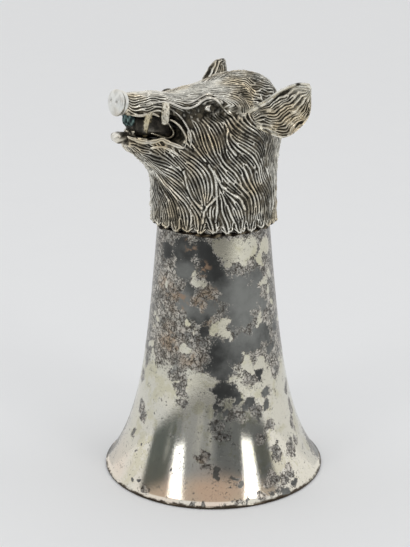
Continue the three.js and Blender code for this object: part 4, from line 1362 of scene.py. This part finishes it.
# Each tusk's curve has the pixels and the sideways places of its root, middle and tip. Its radii go from
# root to tip. The two numbers after them say how rough it is and how deep its grooves are.
LOWER_TUSK = (side_place((144.8, 136), 3.8), side_place((145.5, 122), 5.4), side_place((151.6, 111.6), 7.0))
UPPER_TUSK = (side_place((166.0, 104.5), 7.4), side_place((166.0, 113), 9.4), side_place((164.4, 125), 8.9))
LOWER_RADII, UPPER_RADII = (0.7, 0.75, 0.95, 1.1, 0.9, 0.25), (1.1, 1.2, 1.2, 1.15, 1.05, 0.9)
tusk("lower_tusks", LOWER_TUSK, LOWER_RADII, 0.05, 0.08, ("lower_tusk_left", "lower_tusk_right"))
tusk("upper_tusks", UPPER_TUSK, UPPER_RADII, 0.09, 0.07, ("upper_tusk_left", "upper_tusk_right"))


# %% Incisors
TEETH = 6
ROW_HALF_WIDTH = 2.15


def tooth_row(name, centre, height, rough, material, slot, node_name):
    """Small blocks side by side on a shallow arc, each a ball raised to the power 0.55, with lumps."""
    ball = ball_grid(24, 28)
    block = np.sign(ball) * np.abs(ball) ** 0.55
    x = np.linspace(-ROW_HALF_WIDTH, ROW_HALF_WIDTH, TEETH)
    teeth = block[None] * [0.5, 0.75, height / 2]
    teeth = teeth + np.stack([x, centre[0] + 0.12 * x**2, np.full(TEETH, centre[1])], 1)[:, None, None]
    teeth += ball[None] * rough * waves(teeth, 0.9, 17)[..., None]
    teeth[..., 2] += COLLAR
    crest = np.clip(0.6 + 0.4 * waves(teeth, 1.3, 23), 0, 1)
    cast_piece(name, teeth, crest, material, slot, node_name)


tooth_row("upper_teeth", (-28.8, MOUTH_ROOF - 1.5), 4.0, 0.13, green_metal, "verdigris", "upper_incisors")
tooth_row("lower_teeth", (-28.4, LIP_LINE + 1.6), 2.0, 0.06, lip_metal, "polished_casting",
          "lower_incisors")

# %% [markdown]
# ## Ears
#
# Each ear is a cupped leaf. Its upper and lower edges are curves along its length, the bowl between them
# is a parabola across and a sine along, and the wall is thick in the middle and thin at the rim. Hairs run
# lengthwise over both faces, cut as on the head, and a smooth rolled band follows the upper edge.

# %% Ear surfaces
EAR_LENGTH = 22.0
UPPER_EDGE = smooth_path([(0, -1.2), (0.35, -1.6), (0.62, -2.5), (0.85, -2.2), (1, -0.6)], 80)
LOWER_EDGE = smooth_path([(0, 1.2), (0.16, 5.4), (0.38, 10.4), (0.6, 10.4), (0.84, 7.6), (1, 0.9)], 80)
EAR_CUTS = 14


def rim_band(t):
    """Width of the smooth rolled band along the ear's upper edge, wide at the root and thin at the tip."""
    return 2.1 - 1.2 * rising(t, 0.2, 0.6)


def ear_cuts(seed, band):
    """Cuts in the leaf's own plane of [along, across, 0], each at a constant share of the way between the
    rim's band and the lower edge, swayed by a random value. Every second one starts late and ends early."""
    rng = np.random.default_rng(seed)
    lines = []
    for number, share in enumerate(np.linspace(0.02, 1.0, EAR_CUTS)):
        early = 0.16 * (number % 2)
        start, stop = 0.01 + early * rng.uniform(0.5, 2.6), 0.99 - early * rng.uniform(0.4, 2.4)
        t = np.arange(start, stop, STEP / EAR_LENGTH)
        upper, lower = (np.interp(t, edge[:, 0], edge[:, 1]) for edge in (UPPER_EDGE, LOWER_EDGE))
        upper = upper + rim_band(t) * band
        across = upper + (lower - upper) * share
        line = np.stack([t * EAR_LENGTH, across, 0 * t], 1)
        sway = 0.5 * waves(line * [1, 0.5, 0], 7.0, seed)
        line[:, 1] += sway + 0.26 * waves(line * [1, 1.6, 0], 3.0, seed + 2)
        lines.append(line)
    return lines


def ear_rings(along, facing, seed):
    """The leaf's rings from root to tip: across the hollow face and back across the outer one."""
    along = unit(np.array(along, float))
    facing = unit(np.array(facing) - (np.array(facing) @ along) * along)
    across = np.cross(along, facing)
    t = np.linspace(0.0, 1, 220)[:, None]
    s = (0.5 - 0.5 * np.cos(np.linspace(0, np.pi, 104)))[None]
    upper = np.interp(t, UPPER_EDGE[:, 0], UPPER_EDGE[:, 1])
    lower = np.interp(t, LOWER_EDGE[:, 0], LOWER_EDGE[:, 1])
    w = upper + (lower - upper) * s
    flat = np.stack([t * EAR_LENGTH + 0 * w, w, 0 * w], -1)
    dish = 1 - (2 * s - 1) ** 2
    bowl = -2.6 * (np.sin(np.pi * t**0.7) * dish - 0.23 * t)
    wall = 0.65 * (0.35 + 0.65 * np.sqrt(np.clip(dish, 0, 1)))
    rim = falloff(w - upper, 0.9 * rim_band(t), 4) * np.clip(t * 8, 0, 1)
    lower_rim = falloff(lower - w, 0.5, 4)
    inner_hair, outer_hair = (
        hair_profile(*cut_distances(flat, ear_cuts(seed + side, 1 - side))) for side in (0, 1))
    fade = np.clip(dish * 4, 0, 1)
    inner = bowl + wall + 0.5 * (inner_hair * (1 - rim) - 0.5) * fade + 0.45 * rim
    outer = bowl - wall - 0.4 * (outer_hair - 0.5) * fade

    def at(depth):
        flat_place = EAR_ROOT + along * (t * EAR_LENGTH)[..., None] + across * w[..., None]
        return flat_place + facing * depth[..., None]

    rings = np.concatenate([at(inner), at(outer)[:, -2:0:-1]], 1)
    smooth_rim = rim * (0.85 + 0.3 * waves(flat, 2.5, seed))
    rough_rim = lower_rim * (0.85 + 0.4 * waves(flat, 1.6, seed + 5))
    patch = np.clip(0.5 + waves(flat, 4.0, seed + 7), 0, 1)
    tip = 0.45 * rising(t, 0.68, 0.2) * np.clip(1.2 - 1.6 * s, 0, 1)
    face = 0.09 + 0.1 * t + tip + 0.75 * s**3 * patch + (0.65 + 0.35 * patch) * inner_hair
    inside = np.maximum(np.maximum(face * (1 - rim), smooth_rim), rough_rim)
    crest = np.concatenate([inside, (0.1 + 0.9 * outer_hair)[:, -2:0:-1]], 1)
    return rings[None] + [0, 0, COLLAR], np.clip(crest, 0, 1)[None]


near_rings, near_crest = ear_rings((0.462, 0.781, 0.429), (0.864, -0.511, 0), 41)
cast_piece("ear_near", near_rings, near_crest, hair_metal, "antique_casting", "ear_left")
far_rings, far_crest = ear_rings((0.36, 0.768, 0.533), (0.95, -0.31, 0), 51)
# The far ear's crest is cut to three quarters: painted shade on the far side of the head.
far_rings, far_crest = (far_rings * [-1, 1, 1])[:, :, ::-1], 0.75 * far_crest[:, :, ::-1]
cast_piece("ear_far", far_rings, far_crest, hair_metal, "antique_casting", "ear_right")

# %% [markdown]
# ## The bell
#
# The bell was spun from sheet. Its outside narrows upwards in a straight taper, plus a flare that dies
# away as an exponential. A small turned lip stands on the table. The inside follows the outside a wall's
# thickness away, and a flat end closes it inside the head.

# %% Bell
BELL_SIDES = 400
SHOULDER_ROUND = 2.2
END_WALL = 1.2


def bell_radius(z):
    """The outside: waist + taper (1 - z/collar) + flare (e^(-z/length) - its value at the collar)."""
    fade, last = np.exp(-z / FLARE_LENGTH), math.exp(-COLLAR / FLARE_LENGTH)
    flare = (RIM_RADIUS - WAIST_RADIUS - WAIST_TAPER) * (fade - last) / (1 - last)
    return WAIST_RADIUS + WAIST_TAPER * (COLLAR - z) / COLLAR + flare


def corner_points(edge, inset, radius):
    """A quarter round from the side, at the edge's height, in to the flat end, set in from the outside."""
    turn = np.linspace(0, np.pi / 2, 8)[1:]
    reach = bell_radius(edge) - inset - radius * (1 - np.cos(turn))
    return np.stack([reach, edge + radius * np.sin(turn)], 1)


def bell_rings():
    """Rings from the closed end's inside, down the inner wall, round the lip and up the outside."""
    lip_top = 4 * LIP_ROUND
    edge = CUP_TOP - SHOULDER_ROUND
    z = lip_top + (edge - lip_top) * np.linspace(0, 1, 190) ** 1.2
    outside = np.stack([bell_radius(z), z], 1)
    z_in = z[::8]
    inside = np.stack([bell_radius(z_in) - CUP_WALL, z_in], 1)
    shoulder = corner_points(edge, 0, SHOULDER_ROUND)
    inner_shoulder = corner_points(edge, END_WALL, SHOULDER_ROUND - END_WALL)
    around = np.linspace(0, np.pi, 14)
    lip_middle = RIM_RADIUS - LIP_ROUND
    lip = np.stack([lip_middle + LIP_ROUND * np.sin(around), LIP_ROUND - LIP_ROUND * np.cos(around)], 1)
    foot = [(lip_middle - REST_WIDTH - 0.25, 0.35), (lip_middle - REST_WIDTH, 0.0)]
    inner_wall = [[(0.5, CUP_TOP - END_WALL)], inner_shoulder[::-1], inside[::-1]]
    profile = np.concatenate([*inner_wall, foot, lip, outside, shoulder, [(0.5, CUP_TOP)]])
    return turned_rings(profile, BELL_SIDES)[None]


bell = bell_rings()
print("bell", bell.shape, "rim", round(float(np.abs(bell[..., 0]).max()) * 2, 2), "mm across")

# %% [markdown]
# ## Tarnish
#
# Silver plate blackens in blotches with lacy edges. Where the photograph shows the bell, every blotch is
# given by a pixel and a radius in pixels, and the rays set it on the bell. There are seven kinds: solid
# stains, lace, brown stains, haze that greys a stain, coal that darkens one, pink blush near the rim, and
# clean metal, which wins over stains and lace. On the unseen side, smooth random values choose instead.
# Five numbers per point, stain, lace, brown, haze and blush, carry this into the finish. Its noise gives
# the fine edges, the specks and the scratches.

# %% Blotches
STAINS = {
    "collar_left": (168, 250, 11), "collar_dark": (183, 248, 14), "collar_middle": (203, 250, 14),
    "diagonal_high": (208, 263, 13), "diagonal": (217, 272, 14), "diagonal_low": (223, 283, 14),
    "cloud": (236, 291, 20), "cloud_right": (249, 298, 18), "cloud_low": (239, 315, 17),
    "cloud_edge": (256, 279, 10), "left_blue": (184, 268, 14), "mid_dark": (203, 316, 9),
    "mid_low": (205, 332, 8), "mid_brown": (190, 292, 9), "left_low": (193, 313, 11),
    "left_dark": (184, 302, 9), "under_brown": (211, 310, 9), "right_middle": (262, 304, 9),
    "right_low": (262, 334, 13), "right_edge": (275, 325, 8), "right_rim": (270, 347, 9),
    "belly": (225, 351, 19), "belly_low": (220, 367, 16), "belly_right": (243, 345, 14),
    "flank": (254, 341, 12), "drop": (222, 391, 11), "drop_right": (232, 393, 9), "drop_low": (218, 404, 7),
    "drop_arm": (239, 400, 5), "drop_foot": (215, 413, 3), "drop_right_low": (247, 409, 5),
    "shade": (228, 411, 5), "shade_low": (258, 420, 4), "fork_right": (266, 404, 4),
    "island": (258, 373, 6), "island_low": (267, 391, 7), "island_left": (250, 402, 6),
    "edge_high": (276, 290, 5), "spot_far_left": (136, 451, 2.6), "spot_left": (141, 447, 1.6),
    "spot_window": (172, 469, 2.6), "spot_middle": (217, 472, 4.2), "spot_right": (236, 486, 4),
    "spot_right_high": (233, 478, 2.5), "rim_left": (131, 482, 3), "rim_left_low": (138, 479, 2.6),
    "rim_right": (283, 489, 5), "rim_right_far": (296, 482, 4.5), "rim_right_near": (271, 493, 4),
    "rim_smudge": (287, 490, 6), "rim_smudge_left": (279, 493, 5), "rim_smudge_right": (295, 486, 5),
    "rim_middle": (245, 500, 3),
}
LACE = {
    "left_high": (160, 285, 18), "left_middle": (160, 312, 19), "left_low": (176, 335, 18),
    "centre": (192, 340, 16), "left_waist": (170, 352, 13), "centre_low": (186, 361, 14),
    "near_belly": (202, 345, 10), "tail": (177, 374, 10), "tail_low": (181, 388, 7),
    "clear_island": (183, 402, 7), "left_edge_high": (147, 358, 8), "left_edge": (143, 374, 9),
    "left_oval": (142, 405, 9), "left_oval_low": (144, 416, 8), "left_foot": (134, 433, 5),
    "right_waist": (252, 378, 11), "right_column": (276, 366, 11), "right_edge": (286, 386, 8),
    "right_oval": (290, 405, 7), "right_oval_low": (292, 420, 8), "right_foot": (295, 438, 6),
    "drop_tail": (217, 425, 9), "brown_cluster": (204, 455, 8), "brown_cluster_low": (208, 467, 5),
    "scratches": (277, 452, 9), "scratches_right": (291, 449, 9), "foot_right": (272, 478, 9),
    "foot_far_right": (290, 470, 7), "rim_a": (190, 502, 4), "rim_b": (207, 504, 4), "rim_c": (224, 505, 4),
    "rim_d": (239, 503, 4), "rim_e": (262, 497, 6), "rim_f": (281, 490, 6), "rim_g": (146, 489, 5),
    "flank_speck": (262, 440, 8), "room_high": (236, 415, 10), "room_left": (222, 437, 8),
    "room_right": (256, 412, 10), "room_edge": (269, 425, 8), "yellowed": (284, 478, 9),
}
BROWN = {
    "cloud": (208, 298, 11), "cloud_left": (200, 302, 8), "spot": (190, 247, 7), "ring": (202, 269, 6),
    "star_side": (210, 322, 8), "left": (175, 300, 14), "low": (170, 340, 18), "low_right": (192, 360, 12),
    "cluster": (204, 458, 10), "left_high": (165, 285, 12),
}
BLUSH = {"foot_left": (112, 462, 34), "foot_window": (158, 490, 26), "foot_middle": (216, 492, 28)}
HAZE = {
    "cloud": (240, 300, 34), "cloud_low": (247, 326, 22), "left_blue": (184, 270, 14),
    "left_dark": (184, 302, 14),
}
COAL = {
    "collar_left": (168, 248, 14), "collar": (186, 246, 22), "collar_middle": (205, 252, 18),
    "diagonal_high": (210, 264, 15), "diagonal": (217, 273, 14), "belly": (212, 356, 14),
    "belly_high": (205, 330, 14), "drop": (222, 393, 16), "island": (258, 376, 12),
}
CLEAN = {
    "window_left": (222, 247, 10), "window_edge": (230, 252, 9), "window_middle": (236, 246, 10),
    "window_low": (234, 256, 7), "window_right": (249, 249, 11), "window_foot": (244, 260, 5),
    "window_drop": (231, 265, 3), "window_far": (265, 246, 9), "window_far_low": (261, 257, 7),
    "chip_left": (198, 281, 5), "chip_left_low": (203, 286, 4), "chip_left_high": (195, 274, 3),
    "nick": (168, 284, 3), "chip_right": (264, 284, 6), "chip_right_low": (269, 289, 4),
    "chip_right_high": (268, 276, 4), "edge_light": (272, 303, 4), "edge_light_low": (277, 318, 4),
    "star": (216, 332, 5.5), "star_top": (222, 326, 6), "star_tip": (227, 320, 4),
    "star_foot": (224, 335, 6), "star_arm": (233, 338, 4), "star_left": (214, 328, 4),
    "leaf": (258, 322, 4), "leaf_top": (260, 316, 3), "leaf_foot": (257, 328, 3), "left_gap": (155, 313, 3),
    "left_gap_low": (156, 321, 4), "tooth": (186, 326, 5), "tooth_tip": (191, 329, 3),
    "left_light": (151, 343, 5), "left_light_low": (153, 353, 4), "dash": (183, 349, 6),
    "dash_right": (190, 351, 5), "strip_left": (155, 384, 9), "strip_left_low": (150, 395, 10),
    "strip_right": (161, 400, 8), "strip_top": (155, 374, 5), "moon": (190, 384, 6),
    "moon_middle": (199, 382, 8), "moon_right": (207, 380, 5), "cliff_top": (243, 354, 3),
    "cliff": (247, 362, 6), "cliff_low": (250, 369, 6), "shelf": (262, 362, 6), "shelf_low": (257, 385, 5),
}


def pixels_on_bell(pixels):
    """Where rays through pixels meet the bell: each goes on by half its distance to the bell's outside."""
    ray = pixel_rays(pixels)
    t = np.full(ray.shape[:-1], CAMERA_DISTANCE - 80.0)
    for _ in range(60):
        p = camera_place + ray * t[..., None]
        outside = bell_radius(np.clip(p[..., 2], 0, 90))
        t = t + 0.5 * (np.hypot(p[..., 0], p[..., 1]) - outside)
    return camera_place + ray * t[..., None]


def chosen(seen_value, unseen_value):
    """The first value where the photograph shows the bell, the second where not, between 0 and 1."""
    return np.clip(seen * seen_value + (1 - seen) * unseen_value, 0, 1)


seen = rising(unit(bell * [1, 1, 0]) @ camera_back, -0.12, 0.3)
high_up = rising(bell[..., 2], 34, 8)
torn = bell + 0.8 * np.stack([waves(bell, 5.0, seed) for seed in (81, 82, 83)], -1)
stains, laces, browns, cleans, hazes, coals, blushes = (
    blotch_value(torn, spots, pixels_on_bell) for spots in (STAINS, LACE, BROWN, CLEAN, HAZE, COAL, BLUSH))
random_stain = np.clip(0.25 + 0.75 * waves(bell, 22.0, 61) + 0.3 * high_up, 0, 1)
random_lace = np.clip(0.2 + 0.8 * waves(bell, 18.0, 67) + 0.4 * high_up, 0, 1)
stain = chosen(stains - 1.3 * cleans, random_stain)
lace = chosen(np.maximum(laces, 0.75 * high_up) - 1.3 * cleans, random_lace)
brown = chosen(browns, 0.3 + 0.5 * waves(bell, 12.0, 71))
blush = chosen(blushes + 0.12, 0.4 + 0.5 * waves(bell, 20.0, 77))
haze = chosen(0.45 + 0.45 * hazes - 0.5 * coals, 0.45 + 0.4 * waves(bell, 16.0, 73))
shares = [round(float((value > 0.5).mean()), 2) for value in (stain, lace)]
print("share of the bell stained", shares[0], "and laced", shares[1])


# %% The plate's finish
PLATE_VALUES = ("stain", "lace", "brown", "haze", "blush")
WARP = (0.0042, 0.0042, 0.0042)


def build_tarnish():
    """Masks for tarnished plate: solid blotches with ragged edges, loops of lace, and toning round both."""
    group, source, result = new_group(
        "tarnish",
        [("Stain", "NodeSocketFloat", 0.0), ("Lace", "NodeSocketFloat", 0.0),
         ("Place", "NodeSocketVector", None)],
        [(key, "NodeSocketFloat") for key in ("Solid", "Loops", "Toning", "Height")],
    )
    stain_in, lace_in, place = source.outputs[:3]
    lumps = noise(group, place, 380.0, 3.0, 0.6)
    ragged = noise(group, place, 1400.0, 5.0, 0.75)
    edge = scaled(group, lumps, 0.9, scaled(group, ragged, 1.65, -1.3))
    solid_value = plus(group, stain_in, edge)
    solid = ramp(group, solid_value, 0.34, 0.44)
    warp = node(group, "ShaderNodeTexNoise", None, Vector=place, Scale=420.0, Detail=3.0).outputs["Color"]
    bent = node(group, "ShaderNodeVectorMath", {"operation": "MULTIPLY_ADD"}, i0=warp, i1=WARP, i2=place)

    def net(scale, wide, thin):
        cells = node(group, "ShaderNodeTexVoronoi", {"feature": "DISTANCE_TO_EDGE"}, Vector=bent.outputs[0],
                     Scale=scale)
        return ramp(group, cells.outputs["Distance"], wide, thin)

    loops = times(group, net(520.0, 0.15, 0.04), ramp(group, lumps, 0.38, 0.5))
    curls = times(group, net(1150.0, 0.2, 0.05), ramp(group, lumps, 0.54, 0.44))
    web = times(group, higher(group, loops, curls), ramp(group, ragged, 0.36, 0.52))
    lace_value = plus(group, lace_in, times(group, edge, 0.9))
    fringe = ramp(group, solid_value, 0.1, 0.34)
    lacy = times(group, higher(group, ramp(group, lace_value, 0.28, 0.5), fringe), web)
    broken = ramp(group, noise(group, place, 520.0, 3.0, 0.7), 0.52, 0.6)
    scratches = times(group, net(760.0, 0.075, 0.03), broken)
    lacy = higher(group, lacy, times(group, scratches, ramp(group, lace_in, 0.02, 0.3, 0.12)))
    speck = ramp(group, noise(group, place, 620.0, 2.0, 0.6), 0.70, 0.73)
    dust = ramp(group, noise(group, place, 1500.0, 2.0, 0.6), 0.63, 0.67)
    speck = higher(group, speck, times(group, dust, ramp(group, lace_in, 0.0, 0.3)))
    toning = ramp(group, lace_value, 0.24, 0.5)
    feed(group, result.inputs["Solid"], higher(group, solid, speck))
    feed(group, result.inputs["Loops"], lacy)
    feed(group, result.inputs["Toning"], higher(group, fringe, toning))
    feed(group, result.inputs["Height"], scaled(group, higher(group, solid, lacy), -0.5, ragged))
    return group


TARNISH = build_tarnish()


def build_plate():
    """Silver plate: bright clean metal, warm towards the rim, with tarnish laid over it by its masks."""
    material, tree, shader, place = new_material("tarnished_plate")
    stain_in, lace_in, brown_in, haze_in, blush_in = (attribute(tree, key) for key in PLATE_VALUES)
    masks = node(tree, "ShaderNodeGroup", {"node_tree": TARNISH}, Stain=stain_in, Lace=lace_in, Place=place)
    solid, loops, toning = (masks.outputs[key] for key in ("Solid", "Loops", "Toning"))
    height = height_of(tree, place)
    cloud = noise(tree, place, 55.0, 2.0)
    fine = noise(tree, place, 420.0, 3.0)
    mottle = noise(tree, place, 360.0, 4.0, 0.65)
    clean = mixed(tree, ramp(tree, height, 0.024, 0.044), rgb(0.76, 0.73, 0.63), rgb(0.68, 0.65, 0.53))
    clean = mixed(tree, ramp(tree, cloud, 0.4, 0.65, 0.0, 0.35), clean, rgb(0.62, 0.63, 0.60))
    yellowed = ramp(tree, noise(tree, place, 120.0, 4.0, 0.7), 0.5, 0.6)
    yellowed = times(tree, yellowed, ramp(tree, blush_in, 0.4, 0.1))
    clean = mixed(tree, times(tree, yellowed, 0.6), clean, rgb(0.60, 0.57, 0.40))
    pink = times(tree, ramp(tree, height, 0.026, 0.004), ramp(tree, cloud, 0.35, 0.6, 0.4, 0.9))
    clean = mixed(tree, times(tree, pink, blush_in), clean, rgb(0.78, 0.65, 0.54))
    tone = mixed(tree, ramp(tree, mottle, 0.42, 0.58), rgb(0.23, 0.228, 0.22), rgb(0.62, 0.585, 0.53))
    browned = times(tree, brown_in, ramp(tree, fine, 0.38, 0.62, 0.1, 0.8))
    tone = mixed(tree, browned, tone, rgb(0.44, 0.31, 0.20))
    color = mixed(tree, times(tree, toning, 0.85), clean, tone)
    color = mixed(tree, times(tree, loops, 0.92), color, rgb(0.055, 0.045, 0.036))
    cloudy = plus(tree, haze_in, scaled(tree, noise(tree, place, 150.0, 6.0, 0.7), 1.5, -0.75))
    coal = mixed(tree, ramp(tree, cloudy, -0.15, 1.15), rgb(0.062, 0.063, 0.061), rgb(0.26, 0.265, 0.25))
    coal = mixed(tree, times(tree, brown_in, ramp(tree, fine, 0.5, 0.62)), coal, rgb(0.40, 0.27, 0.18))
    color = mixed(tree, solid, color, coal)
    # A dark line round the very foot of the rim, where it stands on the floor: a painted contact shadow.
    painted_foot_shadow = ramp(tree, plus(tree, height, times(tree, mottle, -0.0016)), 0.0003, -0.0001)
    color = mixed(tree, painted_foot_shadow, color, rgb(0.07, 0.055, 0.04))
    rough = scaled(tree, toning, 0.2, scaled(tree, cloud, 0.1, 0.04))
    rough = higher(tree, rough, times(tree, solid, 0.27))
    shade(tree, shader, color, rough, masks.outputs["Height"], 0.12)
    return material


bell_piece = skin_object("bell", bell, **dict(zip(PLATE_VALUES, (stain, lace, brown, haze, blush))))
finish_piece(bell_piece, build_plate(), "tarnished_plate", "bell_cup")

# %% [markdown]
# ## Solder
#
# The head was soldered on by hand. A thin brown-black line of solder runs round under the locks, thick in
# one place and nearly gone in the next. It is a small oval carried round the bell, whose size and height
# wander with a smooth random value.

# %% Solder line
SOLDER_STEPS = 360


def solder_rings():
    """Rings across the solder, carried round the bell: radius and height each wander by random values."""
    a = circle_steps(SOLDER_STEPS)
    circle = np.stack([np.cos(a), np.sin(a), 0 * a], 1)
    size = 0.5 + 0.22 * waves(circle * 18, 3.0, 73)
    z = COLLAR + 0.15 + 0.35 * waves(circle * 18, 6.0, 71)
    b = circle_steps(14)
    r = (bell_radius(z) + 0.2)[:, None] + size[:, None] * np.cos(b) * 0.8
    z = z[:, None] + size[:, None] * np.sin(b)
    return np.stack([r * np.cos(a)[:, None], r * np.sin(a)[:, None], z], -1)


def closed_grid(rows, columns):
    """The quads of a grid of points that closes on itself both ways."""
    i, j = np.meshgrid(np.arange(rows), np.arange(columns), indexing="ij")
    i2, j2 = (i + 1) % rows, (j + 1) % columns
    corners = [i * columns + j, i2 * columns + j, i2 * columns + j2, i * columns + j2]
    return np.stack(corners, -1).reshape(-1, 4)


solder = solder_rings()
solder_faces = closed_grid(*solder.shape[:2]), np.zeros((0, 3), int)
solder_values = {"crest": 0.5 + 0.35 * waves(solder, 2.0, 79)}
solder_piece = new_object("solder_line", solder.reshape(-1, 3), *solder_faces, solder_values)
finish_piece(solder_piece, solder_metal, "solder", "solder_ring")

# %% [markdown]
# ## The studio
#
# The photograph was taken on a pale sheet in soft light, with two tall windows behind the photographer.
# Polished silver shows all of it, so the world is drawn as such a room: pale all round and overhead, dim
# and streaky behind the camera, with a warm band high up and a dark one at the far left. The two windows
# are area lamps. The floor is plain, pale and matte, and it turns grey from about half a metre off on the
# camera's side, because the bell's flare mirrors that.

# %% Floor
FLOOR_HALF = 6.0
SHEET_END, DARK_START = 0.42, 0.66
floor_mesh = bpy.data.meshes.new("floor")
floor_corners = [(x * FLOOR_HALF, y * FLOOR_HALF, 0) for x, y in ((-1, -1), (1, -1), (1, 1), (-1, 1))]
floor_mesh.from_pydata(floor_corners, [], [(0, 1, 2, 3)])
floor = bpy.data.objects.new("floor", floor_mesh)
bpy.context.scene.collection.objects.link(floor)
floor_paper, tree, shader, place = new_material("floor_paper")
paper = mixed(tree, noise(tree, place, 30.0, 3.0), rgb(0.85, 0.865, 0.88), rgb(0.865, 0.88, 0.89))
nearer = ramp(tree, dot(tree, place, camera_back), SHEET_END, DARK_START)
feed(tree, shader.inputs["Base Color"], mixed(tree, nearer, paper, rgb(0.32, 0.325, 0.33)))
feed(tree, shader.inputs["Roughness"], 0.8)
feed(tree, shader.inputs["Specular IOR Level"], 0.1)
floor.data.materials.append(floor_paper)

# %% World
STREAK_SHAPE = (1.0, 1.0, 0.06)
world = bpy.data.worlds.new("studio")
world.use_nodes = True
bpy.context.scene.world = world
tree = world.node_tree
direction = node(tree, "ShaderNodeTexCoord").outputs["Generated"]
rise = height_of(tree, direction)
towards, across = (dot(tree, direction, axis) for axis in (camera_back, camera_right))
into_room = scaled(tree, higher(tree, across, 0.0), -0.2, towards)
behind_camera = times(tree, ramp(tree, into_room, 0.02, 0.1), ramp(tree, rise, -0.3, -0.2))
flattened = node(tree, "ShaderNodeVectorMath", {"operation": "MULTIPLY"}, i0=direction, i1=STREAK_SHAPE)
streaks = noise(tree, flattened.outputs[0], 3.4, 4.0, 0.7)
wall = mixed(tree, ramp(tree, across, -0.25, 0.25), rgb(0.34, 0.35, 0.365), rgb(0.15, 0.16, 0.17))
for where, low, high, color in (
    (across, -0.74, -0.82, rgb(0.13, 0.145, 0.14)),
    (streaks, 0.6, 0.66, rgb(0.56, 0.56, 0.54)),
    (streaks, 0.46, 0.36, rgb(0.11, 0.12, 0.125)),
    (rise, 0.36, 0.52, rgb(0.56, 0.48, 0.41)),
    (rise, 0.64, 0.76, rgb(0.93, 0.94, 0.95)),
):
    wall = mixed(tree, ramp(tree, where, low, high), wall, color)
background = tree.nodes["Background"]
feed(tree, background.inputs["Color"], mixed(tree, behind_camera, rgb(0.93, 0.93, 0.935), wall))
feed(tree, background.inputs["Strength"], 1.0)


# %% Lamps
LAMP_DISTANCE = 0.9
CUP_MIDDLE = Vector((0, 0, 0.06))


def window_lamp(name, azimuth, elevation, width, tall, power):
    """An area lamp at an azimuth from the camera's side and an elevation, aimed at the cup's middle."""
    a, e = CAMERA_AZIMUTH + math.radians(azimuth), math.radians(elevation)
    back = Vector((math.sin(a) * math.cos(e), -math.cos(a) * math.cos(e), math.sin(e)))
    data = bpy.data.lights.new(name, "AREA")
    data.shape, data.size, data.size_y, data.energy = "RECTANGLE", width, tall, power
    lamp = bpy.data.objects.new(name, data)
    lamp.location = back * LAMP_DISTANCE + CUP_MIDDLE
    lamp.rotation_euler = back.to_track_quat("Z", "Y").to_euler()
    bpy.context.scene.collection.objects.link(lamp)


window_lamp("window_left", -44, 22, 0.21, 0.5, 0.72)
window_lamp("window_right", 44, 21, 0.22, 0.52, 1.0)

# %% Camera
camera_data = bpy.data.cameras.new("camera")
camera_data.sensor_width = 36.0
camera_data.lens = FOCAL_PIXELS / PICTURE[1] * camera_data.sensor_width
camera_data.shift_x = -(AXIS_PIXEL - PICTURE[0] / 2) / PICTURE[1]
camera_data.clip_start = 0.01
camera = bpy.data.objects.new("camera", camera_data)
camera.location = Vector(camera_place * MM)
camera.rotation_euler = (math.pi / 2 - CAMERA_PITCH, 0, CAMERA_AZIMUTH)
bpy.context.scene.collection.objects.link(camera)
bpy.context.scene.camera = camera
bpy.context.scene.view_settings.view_transform = "Standard"
print("camera at", [round(v, 3) for v in camera.location], "lens", round(camera_data.lens, 1), "mm")
